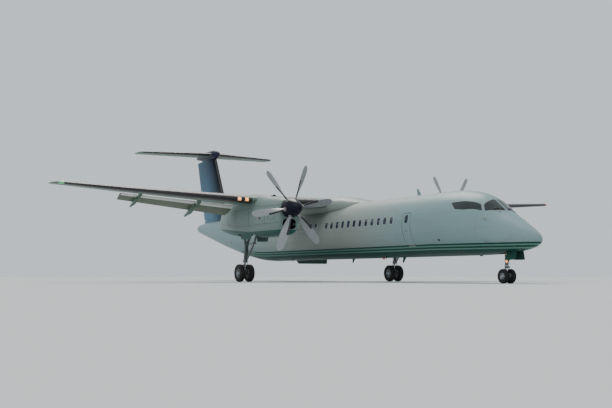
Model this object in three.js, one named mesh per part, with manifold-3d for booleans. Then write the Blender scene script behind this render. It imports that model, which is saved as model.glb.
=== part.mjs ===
// A twin-engined, high-wing turboprop airliner parked on its landing gear.
// Millimetres, +X towards the nose, +Y to port, +Z up, floor at z = 0, origin under the middle of its length.
import * as THREE from "three";
import { mergeVertices } from "three/addons/utils/BufferGeometryUtils.js";
import Module from "manifold-3d";

const wasm = await Module();
wasm.setup();

// Driving dimensions
const LENGTH = 32830;
const HALF_SPAN = 14210;
const FUSELAGE_RADIUS = 1345;
const FUSELAGE_CENTRE_Z = 2450;
const ENGINE_Y = 4400;
const PROP_RADIUS = 2055;
const PROP_HUB_Z = 3330;
const PROP_STATION = 11080;
const MAIN_AXLE_STATION = 16090;
const NOSE_AXLE_STATION = 1900;
const MAIN_TYRE_RADIUS = 430;
const NOSE_TYRE_RADIUS = 280;
const FIT_GAP = 1; // between pieces that touch
const SEAM = 6; // round a door or panel
const SWING = 12; // between a control surface and what it turns in

const MATERIALS = {
  white: paint(0xdfe3dd, 0.4),
  grey: paint(0x9fb0a8, 0.45),
  fin_blue: paint(0x2f5370, 0.4),
  belly_green: paint(0x12433a, 0.4),
  glass: paint(0x20292c, 0.12),
  spinner: paint(0x1c1d2b, 0.35),
  blade: paint(0x8e9499, 0.4),
  steel: paint(0xa9adb0, 0.35, 0.8),
  dark_metal: paint(0x4c5357, 0.5, 0.6),
  rubber: paint(0x17171a, 0.85),
};

// Fuselage sections: station aft of the nose, top z, bottom z, half width, z of the widest line
const FUSELAGE = table(
  ["s", "top", "bottom", "half", "wide"],
  [
    [0, 1660, 1600, 35, 1630],
    [60, 1775, 1500, 150, 1640],
    [220, 1905, 1405, 290, 1660],
    [500, 2080, 1315, 460, 1695],
    [900, 2300, 1243, 640, 1750],
    [1350, 2545, 1187, 815, 1825],
    [1750, 2765, 1152, 940, 1910],
    [2150, 3045, 1130, 1040, 2000],
    [2550, 3315, 1117, 1120, 2100],
    [2950, 3510, 1110, 1185, 2200],
    [3450, 3650, 1106, 1250, 2310],
    [4150, 3757, 1105, 1312, 2410],
    [5200, 3795, 1105, 1345, 2450],
    [20800, 3795, 1105, 1345, 2450],
    [22000, 3794, 1150, 1342, 2470],
    [23500, 3790, 1330, 1305, 2540],
    [25000, 3780, 1600, 1215, 2640],
    [26500, 3768, 1900, 1075, 2760],
    [28000, 3750, 2215, 890, 2900],
    [29500, 3725, 2540, 670, 3060],
    [31000, 3685, 2865, 430, 3230],
    [31800, 3640, 3040, 290, 3320],
    [32200, 3590, 3150, 195, 3360],
    [32400, 3500, 3250, 90, 3375],
  ],
);
const RADOME_END = 900;
const TAIL_CONE_START = 31500;
const FUSELAGE_END = 32400;

// Wing sections: span position, leading edge station, chord, z of the chord line, thickness share
const WING = table(
  ["y", "s", "chord", "z", "thick"],
  [
    [0, 13600, 2900, 3830, 0.17],
    [5100, 13640, 2860, 3830, 0.165],
    [11100, 14240, 1680, 4150, 0.145],
    [13880, 14505, 1125, 4322, 0.13],
    [14110, 14830, 760, 4338, 0.11],
    [14210, 15200, 370, 4345, 0.09],
  ],
);
const WING_SPLIT_Y = 5100;
const FLAP_START = 0.645; // share of the chord where the fixed wing's lower skin ends
const SHROUD_END = 0.765; // and where its upper skin ends, over the flap
const SHROUD = { thick: 0.006, root: 0.012 };
const AILERON_HINGE = 0.76;
const INNER_FLAP = { y0: 1480, y1: 3640, chord: 0.385 }; // chord as a share of the wing's
const OUTER_FLAP = { y0: 5190, y1: 10900, chord: 0.36 };
const AILERON = { y0: 10980, y1: 13800 };
const FLAP_REST_ANGLE = 25;
const FLAP_FAIRINGS = [7200, 10100];

// Tail sections: height z, leading edge station, chord, thickness share
const FIN = table(
  ["z", "s", "chord", "thick"],
  [
    [3300, 27420, 3850, 0.13],
    [4230, 27900, 3660, 0.13],
    [7960, 29800, 2950, 0.12],
  ],
);
const RUDDER_HINGE = 0.66;
const RUDDER_TAB_HINGE = 0.83;
const RUDDER = { z0: 3860, z1: 7735 };
const FIN_TOP = 7900;
// Tailplane sections: span position, leading edge station, chord, z, thickness share
const TAILPLANE = table(
  ["y", "s", "chord", "z", "thick"],
  [
    [0, 29830, 2330, 8060, 0.12],
    [4480, 30800, 1400, 8060, 0.1],
    [4635, 31020, 1080, 8060, 0.08],
  ],
);
const ELEVATOR_HINGE = 0.62;
const ELEVATOR = { y0: 330, y1: 4440 };

// Nacelle sections: station, top z, bottom z, half width, how far the section leans aft at its foot
const NACELLE = table(
  ["s", "top", "bottom", "half", "lean"],
  [
    [11420, 3745, 2190, 505, 0],
    [11650, 3790, 2140, 560, 0],
    [12300, 3880, 2100, 625, 0],
    [13100, 4000, 2085, 660, 0],
    [13800, 4110, 2090, 672, 0],
    [14800, 4205, 2115, 675, 0],
    [16000, 4215, 2185, 665, 0],
    [17000, 4165, 2300, 570, 60],
    [17800, 4105, 2450, 405, 170],
    [18350, 4050, 2580, 225, 260],
    [18750, 4010, 2720, 60, 330],
  ],
);
const NACELLE_POWER = 2.7; // superellipse power of a nacelle section
const FIREWALL_STATION = 13800;
const COWL_WALL = 60;
const WHEEL_BAY = { s0: 13980, s1: 15980, half: 430, roof: 2780 };
// Doors that hang open at the sides of the wheel bay
const INBOARD_DOOR = { s0: 14300, s1: 15600, top: 2330, bottom: 1920, thick: 30 };
const OUTBOARD_DOOR = { s0: 14350, s1: 15550, top: 2300, bottom: 2020, thick: 30 };

// Propeller blade sections: share of the radius, chord, pitch angle in degrees, thickness
const BLADE = table(
  ["r", "chord", "pitch", "thick"],
  [
    [0.12, 130, 68, 124],
    [0.24, 205, 63, 85],
    [0.36, 310, 54, 50],
    [0.65, 385, 37, 30],
    [0.9, 325, 27, 20],
    [1, 170, 25, 12],
  ],
);
const BLADE_COUNT = 6;
const BLADE_PHASE = { port: 0, starboard: 10 }; // degrees from +Y towards +Z

// Pads for a jack: station, distance from the middle, how far up the pad runs, height of its flat foot
const JACK_PADS = {
  fuselage: { s: 3400, y: 0, top: 1250, foot: 1075, radius: 70 },
  nacelle: { s: 16400, y: ENGINE_Y, top: 2500, foot: 2195, radius: 80 },
};

// Doors: name, side (1 port, -1 starboard), stations, heights
const DOORS = table(
  ["name", "side", "s0", "s1", "z0", "z1"],
  [
    ["emergency_exit_starboard", -1, 6420, 6985, 1590, 2930],
    ["service_door_aft", -1, 21830, 22490, 1650, 3120],
    ["passenger_door_aft", 1, 21250, 22000, 1560, 3200],
  ],
);
const DOOR_THICKNESS = 80;
const AIRSTAIR = { s0: 5850, s1: 6620, z0: 1440, z1: 3180, recess: 330, steps: 5 };

function paint(color, roughness, metalness = 0) {
  return new THREE.MeshStandardMaterial({ color, roughness, metalness });
}

function table(columns, rows) {
  return rows.map((row) => Object.fromEntries(columns.map((name, i) => [name, row[i]])));
}

const station = (s) => LENGTH / 2 - s;
const SIDE_SIGN = { port: 1, starboard: -1 };

// A row of a table at any place along its first column, by straight lines between the rows
function rowAt(rows, key, value) {
  const i = Math.max(1, rows.findIndex((row) => row[key] >= value));
  const [a, b] = [rows[i - 1], rows[i]];
  const share = (value - a[key]) / (b[key] - a[key]);
  return Object.fromEntries(Object.keys(a).map((name) => [name, a[name] + share * (b[name] - a[name])]));
}

// The rows between two places, with a row made at each end
function rowsBetween(rows, key, from, to) {
  const inside = rows.filter((row) => row[key] > from && row[key] < to);
  return [rowAt(rows, key, from), ...inside, rowAt(rows, key, to)];
}

// Solids

function signedVolume(position, index) {
  const [a, b, c] = [new THREE.Vector3(), new THREE.Vector3(), new THREE.Vector3()];
  let sum = 0;
  for (let i = 0; i < index.length; i += 3) {
    a.fromBufferAttribute(position, index[i]);
    b.fromBufferAttribute(position, index[i + 1]);
    c.fromBufferAttribute(position, index[i + 2]);
    sum += a.dot(b.cross(c));
  }
  return sum;
}

// A closed geometry as a solid that can be joined and cut, with its faces turned outwards
function solid(geometry) {
  const bare = geometry.clone();
  for (const name of Object.keys(bare.attributes)) if (name !== "position") bare.deleteAttribute(name);
  const merged = mergeVertices(bare, 1e-3);
  const triVerts = new Uint32Array(merged.index.array);
  if (signedVolume(merged.attributes.position, triVerts) < 0) {
    for (let i = 0; i < triVerts.length; i += 3) {
      [triVerts[i + 1], triVerts[i + 2]] = [triVerts[i + 2], triVerts[i + 1]];
    }
  }
  const vertProperties = merged.attributes.position.array;
  return new wasm.Manifold(new wasm.Mesh({ numProp: 3, vertProperties, triVerts }));
}

function geometryOf(made) {
  const { numProp, vertProperties, triVerts, numVert } = made.getMesh();
  const position = new Float32Array(numVert * 3);
  for (let i = 0; i < numVert; i++) {
    position.set(vertProperties.subarray(i * numProp, i * numProp + 3), i * 3);
  }
  const geometry = new THREE.BufferGeometry();
  geometry.setAttribute("position", new THREE.BufferAttribute(position, 3));
  geometry.setIndex(new THREE.BufferAttribute(new Uint32Array(triVerts), 1));
  geometry.computeVertexNormals();
  return geometry;
}

const join = (...pieces) => pieces.reduce((a, b) => a.add(b));
const cut = (body, ...tools) => tools.reduce((a, b) => a.subtract(b), body);

// A skin over closed outlines of equal length. A ring is { outline: flat points, place: point => Vector3 }.
function loft(rings) {
  const count = rings[0].outline.length;
  const points = rings.flatMap((ring) => ring.outline.map((p) => ring.place(p)));
  const index = [];
  for (let r = 0; r + 1 < rings.length; r++) {
    for (let i = 0; i < count; i++) {
      const j = (i + 1) % count;
      const [a, b, c, d] = [r * count + i, r * count + j, (r + 1) * count + j, (r + 1) * count + i];
      index.push(a, b, c, a, c, d);
    }
  }
  const [first, end] = [rings[0], rings.at(-1)];
  for (const [a, b, c] of THREE.ShapeUtils.triangulateShape(first.outline, [])) {
    index.push(...turned(first, a, b, c, 0));
  }
  for (const [a, b, c] of THREE.ShapeUtils.triangulateShape(end.outline, [])) {
    index.push(...turned(end, a, c, b, (rings.length - 1) * count));
  }
  const geometry = new THREE.BufferGeometry().setFromPoints(points);
  geometry.setIndex(index);
  return solid(geometry);
}

// An end cap's triangle, wound against the ring's own direction
function turned(ring, a, b, c, offset) {
  const forward = THREE.ShapeUtils.area(ring.outline) > 0;
  return forward ? [offset + a, offset + c, offset + b] : [offset + a, offset + b, offset + c];
}

function box(x0, x1, y0, y1, z0, z1) {
  const geometry = new THREE.BoxGeometry(Math.abs(x1 - x0), Math.abs(y1 - y0), Math.abs(z1 - z0));
  geometry.translate((x0 + x1) / 2, (y0 + y1) / 2, (z0 + z1) / 2);
  return solid(geometry);
}

// A round bar between two points
function rod(from, to, radius, radiusTo = radius, sides = 8) {
  const [a, b] = [new THREE.Vector3(...from), new THREE.Vector3(...to)];
  const axis = b.clone().sub(a);
  const geometry = new THREE.CylinderGeometry(radiusTo, radius, axis.length(), sides);
  const upright = new THREE.Vector3(0, 1, 0);
  geometry.applyQuaternion(new THREE.Quaternion().setFromUnitVectors(upright, axis.normalize()));
  const middle = a.add(b).multiplyScalar(0.5);
  geometry.translate(middle.x, middle.y, middle.z);
  return solid(geometry);
}

function jackPad({ s, y, top, foot, radius }) {
  return rod([station(s), y, top], [station(s), y, foot], radius, radius, 12);
}

// A body of revolution about a line along +Y through a point, with a flat side below.
// The profile is [radius, along].
function turnedAboutY(profile, centre, sides) {
  const points = profile.map(([r, h]) => new THREE.Vector2(r, h));
  const geometry = new THREE.LatheGeometry(points, sides, Math.PI / sides);
  geometry.translate(...centre);
  return solid(geometry);
}

function mirrored(made) {
  return solid(geometryOf(made).scale(1, -1, 1));
}

// Outlines

// A superellipse with its own upper and lower half height; power 2 is an ellipse
function ovalRing(row, sides, power, inset) {
  const middle = row.wide ?? (row.top + row.bottom) / 2;
  const outline = [];
  for (let i = 0; i < sides; i++) {
    const angle = (2 * Math.PI * i) / sides;
    const [c, s] = [Math.cos(angle), Math.sin(angle)];
    const up = (s > 0 ? row.top - middle : middle - row.bottom) - inset;
    const across = Math.sign(c) * Math.abs(c) ** (2 / power) * (row.half - inset);
    outline.push(new THREE.Vector2(across, middle + Math.sign(s) * Math.abs(s) ** (2 / power) * up));
  }
  return outline;
}

function bodyLoft(rows, { sides = 24, power = 2, inset = 0, y = 0 } = {}) {
  return loft(
    rows.map((row) => {
      const middle = (row.top + row.bottom) / 2;
      const half = (row.top - row.bottom) / 2;
      const lean = row.lean ?? 0;
      return {
        outline: ovalRing(row, sides, power, inset),
        place: (p) => new THREE.Vector3(station(row.s + (lean * (middle - p.y)) / half), y + p.x, p.y),
      };
    }),
  );
}

const AIRFOIL_STEPS = 7;
// Half thickness of a four-digit aerofoil at a share of the chord, for a thickness share of 1
function thicknessAt(x) {
  return 5 * (0.2969 * Math.sqrt(x) - 0.126 * x - 0.3516 * x ** 2 + 0.2843 * x ** 3 - 0.1036 * x ** 4);
}

const camber = (x) => 0.08 * x * (1 - x);

// An aerofoil between two shares of the chord. A hinged front end is round about its hinge, a cove is hollow
// round the hinge behind it. Points are shares of the chord, x aft and y up.
function airfoil(thick, shape) {
  const { from = 0, to = 1, round = null, cove = null, shroud = to, cambered = false, grow = 0 } = shape;
  const line = (x) => (cambered ? camber(x) : 0);
  const half = (x) => thicknessAt(x) * thick + grow;
  const more = to === 1 ? 0 : 3 * grow;
  const spread = (end) => Array.from({ length: AIRFOIL_STEPS + 1 }, (_, i) => {
    return from + (end + more - from) * (1 - Math.cos((Math.PI * i) / AIRFOIL_STEPS)) * 0.5;
  });
  const top = spread(shroud).map((x) => new THREE.Vector2(x, line(x) + half(x)));
  const low = spread(to).map((x) => new THREE.Vector2(x, line(x) - half(x)));
  if (to === 1 && !grow) low.pop();
  if (from === 0 && !grow) low.shift();
  const points = [...top.reverse()];
  if (round !== null) points.push(...arcBetween(round, half(round), line(round), 4));
  points.push(...low);
  if (shroud > to) {
    const under = (x, depth) => new THREE.Vector2(x, line(x) + half(x) - 2 * grow - depth);
    points.push(under(to + more, SHROUD.root), under(shroud + more, SHROUD.thick));
  }
  if (cove !== null) points.push(...coveArc(cove, half(cove) - 2 * grow + SWING / 1000, line(cove), 4));
  return grow ? points.map((p) => new THREE.Vector2(p.x * (1 + 2 * grow) - grow, p.y)) : points;
}

// The front half of a circle about a hinge, from its top to its foot
function arcBetween(x, radius, z, steps) {
  const points = [];
  for (let i = 1; i < steps; i++) {
    const angle = Math.PI / 2 + (Math.PI * i) / steps;
    points.push(new THREE.Vector2(x + radius * Math.cos(angle), z + radius * Math.sin(angle)));
  }
  return points;
}

function coveArc(x, radius, z, steps) {
  const points = [];
  for (let i = 1; i < steps; i++) {
    const angle = (-130 - (100 * i) / steps) * THREE.MathUtils.DEG2RAD;
    points.push(new THREE.Vector2(x + radius * Math.cos(angle), z + radius * Math.sin(angle)));
  }
  return points;
}

// Part of a wing between two span positions. Starboard wings are mirrored later.
function wingPart(rows, y0, y1, shape, growMm = 0) {
  return loft(
    rowsBetween(rows, "y", y0, y1).map((row) => ({
      outline: airfoil(row.thick, { ...shape, grow: growMm / row.chord }),
      place: (p) => new THREE.Vector3(station(row.s + p.x * row.chord), row.y, row.z + p.y * row.chord),
    })),
  );
}

function finPart(z0, z1, shape, growMm = 0) {
  return loft(
    rowsBetween(FIN, "z", z0, z1).map((row) => ({
      outline: airfoil(row.thick, { ...shape, grow: growMm / row.chord }),
      place: (p) => new THREE.Vector3(station(row.s + p.x * row.chord), p.y * row.chord, row.z),
    })),
  );
}

// Where a share of the chord lies, as a point
function wingPoint(rows, y, share, drop = 0) {
  const row = rowAt(rows, "y", y);
  return new THREE.Vector3(station(row.s + share * row.chord), y, row.z - drop);
}

// Fuselage with its radome, tail cone, doors and cockpit glass

const fuselageRows = rowsBetween(FUSELAGE, "s", RADOME_END + FIT_GAP, TAIL_CONE_START - FIT_GAP);
const fuselageWhole = bodyLoft(fuselageRows);
const fuselageCore = (depth) => bodyLoft(fuselageRows, { inset: depth });
const fuselageGrown = bodyLoft(FUSELAGE.slice(1, -1), { inset: -FIT_GAP });
const radome = bodyLoft(rowsBetween(FUSELAGE, "s", 0, RADOME_END));
const tailCone = bodyLoft(rowsBetween(FUSELAGE, "s", TAIL_CONE_START, FUSELAGE_END));

const REACH = 2000; // past the fuselage side
function sideBox(side, s0, s1, z0, z1, grow) {
  return box(station(s0 - grow), station(s1 + grow), 0, side * REACH, z0 - grow, z1 + grow);
}

function doorPanel({ side, s0, s1, z0, z1 }) {
  return cut(sideBox(side, s0, s1, z0, z1, 0).intersect(fuselageWhole), fuselageCore(DOOR_THICKNESS));
}

function doorRecess({ side, s0, s1, z0, z1 }, depth) {
  return cut(sideBox(side, s0, s1, z0, z1, SEAM).intersect(fuselageGrown), fuselageCore(depth));
}

// The boarding door carries its steps on its inner face and turns down about its foot.
function airstairDoor() {
  const { s0, s1, z0, z1, steps } = AIRSTAIR;
  const panel = doorPanel({ side: 1, ...AIRSTAIR });
  const treads = [];
  for (let i = 0; i < steps; i++) {
    const z = z0 + ((i + 0.7) * (z1 - z0)) / (steps + 0.3);
    treads.push(box(station(s0 + 60), station(s1 - 60), 0, REACH, z - 18, z + 18));
  }
  const stringers = [s0 + 60, s1 - 90].map((s) => {
    return box(station(s), station(s + 30), 0, REACH, z0 + 120, z1 - 150);
  });
  const stair = join(...treads, ...stringers).intersect(fuselageCore(DOOR_THICKNESS - 5));
  return join(panel, cut(stair, fuselageCore(270)));
}

// Cockpit glass: a prism seen from the side, between stations and heights, wrapped round the nose
const SIDE_GLASS = [[2340, 2800], [2560, 3080], [3300, 3240], [3950, 3200], [3620, 2930], [3200, 2885]];
const FRONT_GLASS = [[1790, 2795], [2520, 3270], [2470, 3060], [2250, 2780]];
const FRONT_GLASS_INNER_Y = 40;
const GLASS_DEPTH = 30;

function sidePrism(points, y0, y1) {
  const shape = new THREE.Shape(points.map(([s, z]) => new THREE.Vector2(station(s), z)));
  const geometry = new THREE.ExtrudeGeometry(shape, { depth: y1 - y0, bevelEnabled: false });
  geometry.rotateX(Math.PI / 2);
  geometry.translate(0, y1, 0);
  return solid(geometry);
}

function glassPane(points, y0, depth) {
  return cut(sidePrism(points, y0, REACH).intersect(fuselageWhole), fuselageCore(depth));
}

const sideGlass = glassPane(SIDE_GLASS, 300, GLASS_DEPTH);
const frontGlass = glassPane(FRONT_GLASS, FRONT_GLASS_INNER_Y, GLASS_DEPTH);

function grownPane(points, y0) {
  const centre = points.reduce(([a, b], [s, z]) => [a + s / points.length, b + z / points.length], [0, 0]);
  const grown = points.map(([s, z]) => {
    const [ds, dz] = [s - centre[0], z - centre[1]];
    const more = 1 + (3 * FIT_GAP) / Math.hypot(ds, dz) + 0.01;
    return [centre[0] + ds * more, centre[1] + dz * more];
  });
  return cut(sidePrism(grown, y0 - 2 * FIT_GAP, REACH), fuselageCore(GLASS_DEPTH + FIT_GAP));
}

// Nose gear bay
const NOSE_BAY = { s0: 1090, s1: 2180, half: 215, roof: 1560 };
const noseBay = box(
  station(NOSE_BAY.s0), station(NOSE_BAY.s1), -NOSE_BAY.half, NOSE_BAY.half, 900, NOSE_BAY.roof,
);

// Wing
const fixedWing = { to: FLAP_START, shroud: SHROUD_END, cambered: true };
const wholeSection = { cambered: true };
const centreHalf = (growMm = 0) => {
  const root = wingPart(WING, 0, INNER_FLAP.y0 - SWING, wholeSection, growMm);
  const aheadOfFlap = wingPart(WING, INNER_FLAP.y0 - SWING, WING_SPLIT_Y, fixedWing, growMm);
  return join(root, aheadOfFlap);
};
const wingCentre = join(centreHalf(), mirrored(centreHalf()));
// The room that the wing needs in what it crosses
const wingRoom = () => {
  const outboard = wingPart(WING, WING_SPLIT_Y, 6000, fixedWing, 2 * FIT_GAP);
  return join(centreHalf(2 * FIT_GAP), outboard);
};

const aileronShape = { from: AILERON_HINGE, round: AILERON_HINGE, cambered: true };
const aileronWing = { to: AILERON_HINGE - 0.018, cove: AILERON_HINGE, cambered: true };

const wingOuter = () => {
  const flapBay = wingPart(WING, WING_SPLIT_Y + FIT_GAP, OUTER_FLAP.y1 + SWING, fixedWing);
  const gapRib = wingPart(WING, OUTER_FLAP.y1 + SWING, AILERON.y0 - SWING, wholeSection);
  const aileronBay = wingPart(WING, AILERON.y0 - SWING, AILERON.y1 + SWING, aileronWing);
  const tip = wingPart(WING, AILERON.y1 + SWING, HALF_SPAN, wholeSection);
  return join(flapBay, gapRib, aileronBay, tip, ...FLAP_FAIRINGS.map(fixedFairing));
};
const aileron = () => wingPart(WING, AILERON.y0, AILERON.y1, aileronShape);

// A flap lies under the shroud when it is up. It turns about a line below the wing, so it slides back as it
// lowers, and it is made lowered as for an approach. Shares are of the wing's chord, thick of the wing's own.
const FLAP = { lead: 0.66, leadDrop: 0.016, thick: 1.1, pivot: 0.616, pivotDrop: 0.18 };

// The line that a flap turns about, from its inner to its outer end
function flapPivot({ y0, y1 }) {
  const [from, to] = [y0, y1].map((y) => {
    const row = rowAt(WING, "y", y);
    return new THREE.Vector3(station(row.s + FLAP.pivot * row.chord), y, row.z - FLAP.pivotDrop * row.chord);
  });
  return { from, axis: to.clone().sub(from).normalize() };
}

function lowered(point, span) {
  const { from, axis } = flapPivot(span);
  return point.sub(from).applyAxisAngle(axis, -FLAP_REST_ANGLE * THREE.MathUtils.DEG2RAD).add(from);
}

// Points of a flap section, as shares of the flap's chord
function flapPoint(row, p, span) {
  const chord = span.chord * row.chord;
  const s = row.s + FLAP.lead * row.chord + p.x * chord;
  const z = row.z - FLAP.leadDrop * row.chord + p.y * chord;
  return lowered(new THREE.Vector3(station(s), row.y, z), span);
}

function flap(span) {
  return loft(
    rowsBetween(WING, "y", span.y0, span.y1).map((row) => ({
      outline: airfoil(FLAP.thick * row.thick, { cambered: true }),
      place: (p) => flapPoint(row, p, span),
    })),
  );
}

// A fairing over a flap track: the front half is on the wing, the rear half on the flap
const FAIRING_HALF_WIDTH = 45;
function fairingPlate(points, y) {
  return solid(
    new THREE.ExtrudeGeometry(new THREE.Shape(points), { depth: 2 * FAIRING_HALF_WIDTH, bevelEnabled: false })
      .rotateX(Math.PI / 2)
      .translate(0, y + FAIRING_HALF_WIDTH, 0),
  );
}

function fixedFairing(y) {
  const row = rowAt(WING, "y", y);
  const at = (share, drop) => new THREE.Vector2(station(row.s + share * row.chord), row.z - drop * row.chord);
  return fairingPlate([at(0.4, 0), at(0.64, 0), at(0.64, 0.16), at(0.55, 0.14), at(0.45, 0.08)], y);
}

function flapFairing(y) {
  const row = rowAt(WING, "y", y);
  const at = (x, z) => {
    const point = flapPoint(row, new THREE.Vector2(x, z), OUTER_FLAP);
    return new THREE.Vector2(point.x, point.z);
  };
  const outline = [[0.08, 0], [0.85, 0], [1.66, -0.02], [1.6, -0.12], [0.7, -0.36], [0.08, -0.28]];
  return fairingPlate(outline.map(([x, z]) => at(x, z)), y);
}

const innerFlap = () => flap(INNER_FLAP);
const outerFlap = () => join(flap(OUTER_FLAP), ...FLAP_FAIRINGS.map(flapFairing));

// Fairing over the wing and the fuselage crown: station, top z, bottom z, half width
const WING_FAIRING = table(
  ["s", "top", "bottom", "half"],
  [
    [11700, 3790, 3500, 250],
    [12300, 3925, 3330, 700],
    [13100, 4110, 3230, 1010],
    [13900, 4190, 3200, 1150],
    [15600, 4195, 3200, 1200],
    [16700, 4130, 3220, 1130],
    [17600, 3990, 3290, 880],
    [18700, 3800, 3480, 330],
  ],
);

// Engines, nacelles and propellers

function nacelleRows(from, to) {
  return rowsBetween(NACELLE, "s", from, to);
}

const nacelleOptions = { sides: 18, power: NACELLE_POWER, y: ENGINE_Y };
const INTAKE = { half: 335, top: 2860, bottom: 2385, depth: 420 };

function intakeHole() {
  const rows = [NACELLE[0].s - 50, NACELLE[0].s + INTAKE.depth].map((s) => ({ s, ...INTAKE }));
  return bodyLoft(rows, { sides: 12, power: 3, y: ENGINE_Y });
}

function cowl() {
  const outer = bodyLoft(nacelleRows(NACELLE[0].s, FIREWALL_STATION), nacelleOptions);
  const inner = bodyLoft(
    [...nacelleRows(NACELLE[0].s + 330, FIREWALL_STATION), rowAt(NACELLE, "s", FIREWALL_STATION + 50)],
    { ...nacelleOptions, inset: COWL_WALL },
  );
  return cut(outer, inner, intakeHole(), wingRoom());
}

// The engine is one plain block hung on the firewall.
const ENGINE = { s0: 11900, half: 380, bottom: 2560, top: 3480 };
function engineBlock() {
  return box(
    station(ENGINE.s0), station(FIREWALL_STATION), ENGINE_Y - ENGINE.half, ENGINE_Y + ENGINE.half,
    ENGINE.bottom, ENGINE.top,
  );
}

function nacelleAft() {
  const body = bodyLoft(nacelleRows(FIREWALL_STATION + FIT_GAP, NACELLE.at(-1).s), nacelleOptions);
  const bay = box(
    station(WHEEL_BAY.s0), station(WHEEL_BAY.s1), ENGINE_Y - WHEEL_BAY.half, ENGINE_Y + WHEEL_BAY.half,
    1500, WHEEL_BAY.roof,
  );
  return join(cut(body, bay, wingRoom()), outboardDoor(), jackPad(JACK_PADS.nacelle));
}

// A door's outline from the side, narrower at its foot
function doorOutline({ s0, s1, top, bottom }) {
  return [[s0, top], [s0 + 90, bottom], [s1 - 60, bottom + 30], [s1, top]];
}

function outboardDoor() {
  const wall = ENGINE_Y + WHEEL_BAY.half;
  return sidePrism(doorOutline(OUTBOARD_DOOR), wall, wall + OUTBOARD_DOOR.thick);
}

// Spinner profile: radius, distance ahead of the propeller plane
const SPINNER = [[0, 700], [90, 660], [215, 510], [325, 290], [400, 60], [440, -320], [0, -320]];
const SPINNER_SIDES = 16;
const HUB = { radius: 280, ahead: 90, behind: 120 };

const hubCentre = (side) => new THREE.Vector3(station(PROP_STATION), SIDE_SIGN[side] * ENGINE_Y, PROP_HUB_Z);

function alongX(geometry, side) {
  return geometry.rotateZ(-Math.PI / 2).translate(...hubCentre(side));
}

function bladeOutline(row, grow) {
  const [half, thick] = [row.chord / 2 + grow, row.thick / 2 + grow];
  return [
    [-half, 0], [-0.4 * half, -0.9 * thick], [0.5 * half, -0.9 * thick],
    [half, 0], [0.5 * half, 0.9 * thick], [-0.4 * half, 0.9 * thick],
  ].map(([a, b]) => new THREE.Vector2(a, b));
}

// Seen from behind, both propellers turn clockwise, so they aren't mirrored.
function blade(side, turn, grow) {
  const phase = (BLADE_PHASE[side] - 90) * THREE.MathUtils.DEG2RAD;
  const spin = new THREE.Matrix4().makeRotationX(phase + (2 * Math.PI * turn) / BLADE_COUNT);
  const rows = grow ? BLADE.slice(0, 3) : BLADE;
  return loft(
    rows.map((row) => ({
      outline: bladeOutline(row, grow),
      place: (p) => {
        const angle = row.pitch * THREE.MathUtils.DEG2RAD;
        const ahead = p.x * Math.sin(angle) + p.y * Math.cos(angle);
        const across = p.y * Math.sin(angle) - p.x * Math.cos(angle);
        const reach = row.r * PROP_RADIUS;
        return new THREE.Vector3(ahead, across, reach)
          .applyMatrix4(spin)
          .add(hubCentre(side));
      },
    })),
  );
}

function hub(side, grow) {
  const { radius, ahead, behind } = HUB;
  const geometry = new THREE.CylinderGeometry(radius + grow, radius + grow, ahead + behind + 2 * grow, 12);
  return solid(alongX(geometry.translate(0, (ahead - behind) / 2, 0), side));
}

// Blades and hub as one body, and with grow the room that they need in the spinner
function propeller(side, grow = 0) {
  const blades = Array.from({ length: BLADE_COUNT }, (_, i) => blade(side, i, grow));
  return join(hub(side, grow), ...blades);
}

function spinner(side) {
  const profile = SPINNER.map(([r, h]) => new THREE.Vector2(r, h));
  const body = solid(alongX(new THREE.LatheGeometry(profile, SPINNER_SIDES), side));
  const shaft = new THREE.CylinderGeometry(150, 150, 700, 12).translate(0, -350, 0);
  return cut(body, propeller(side, 3), solid(alongX(shaft, side)));
}

// Landing gear

const MAIN_WHEEL = { offset: 255, width: 250, rim: 215, axle: 62 };
const NOSE_WHEEL = { offset: 175, width: 165, rim: 135, axle: 38 };
const TYRE_SIDES = 24;
const RIM_SIDES = 12;

// Tyre profile about the axle: radius and place across the width. It stands on one flat side of its tread.
function tyre(radius, { offset, width, rim }, centre, side) {
  const half = width / 2;
  const tread = radius / Math.cos(Math.PI / TYRE_SIDES);
  const profile = [
    [rim, -0.78 * half], [0.82 * tread, -half], [tread, -0.55 * half],
    [tread, 0.55 * half], [0.82 * tread, half], [rim, 0.78 * half], [rim, -0.78 * half],
  ];
  return turnedAboutY(profile, [centre[0], centre[1] + side * offset, centre[2]], TYRE_SIDES);
}

// The twin rims and the axle between them turn as one.
function rims({ offset, width, rim, axle }, centre) {
  const [x, y, z] = centre;
  const half = 0.75 * (width / 2);
  const rimRadius = rim * Math.cos(Math.PI / TYRE_SIDES) - FIT_GAP;
  const profile = [
    [0, -0.5 * half], [0.84 * rim, -0.5 * half], [0.9 * rim, -half],
    [rimRadius, -half], [rimRadius, half], [0.9 * rim, half], [0.84 * rim, 0.5 * half], [0, 0.5 * half],
  ];
  const wheels = [-1, 1].map((side) => turnedAboutY(profile, [x, y + side * offset, z], RIM_SIDES));
  const sleeve = rod([x, y - offset, z], [x, y + offset, z], axle, axle, 12);
  return join(sleeve, ...wheels);
}

const mainAxle = [station(MAIN_AXLE_STATION), ENGINE_Y, MAIN_TYRE_RADIUS];
const noseAxle = [station(NOSE_AXLE_STATION), 0, NOSE_TYRE_RADIUS];
const AXLE_CLEARANCE = 4;

function axleHousing(centre, wheel, halfLength, radius) {
  const [x, y, z] = centre;
  const tube = rod([x, y - halfLength, z], [x, y + halfLength, z], radius, radius, 12);
  const clear = wheel.axle + AXLE_CLEARANCE;
  const bore = rod([x, y - 2 * halfLength, z], [x, y + 2 * halfLength, z], clear, clear, 12);
  return { tube, bore };
}

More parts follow.
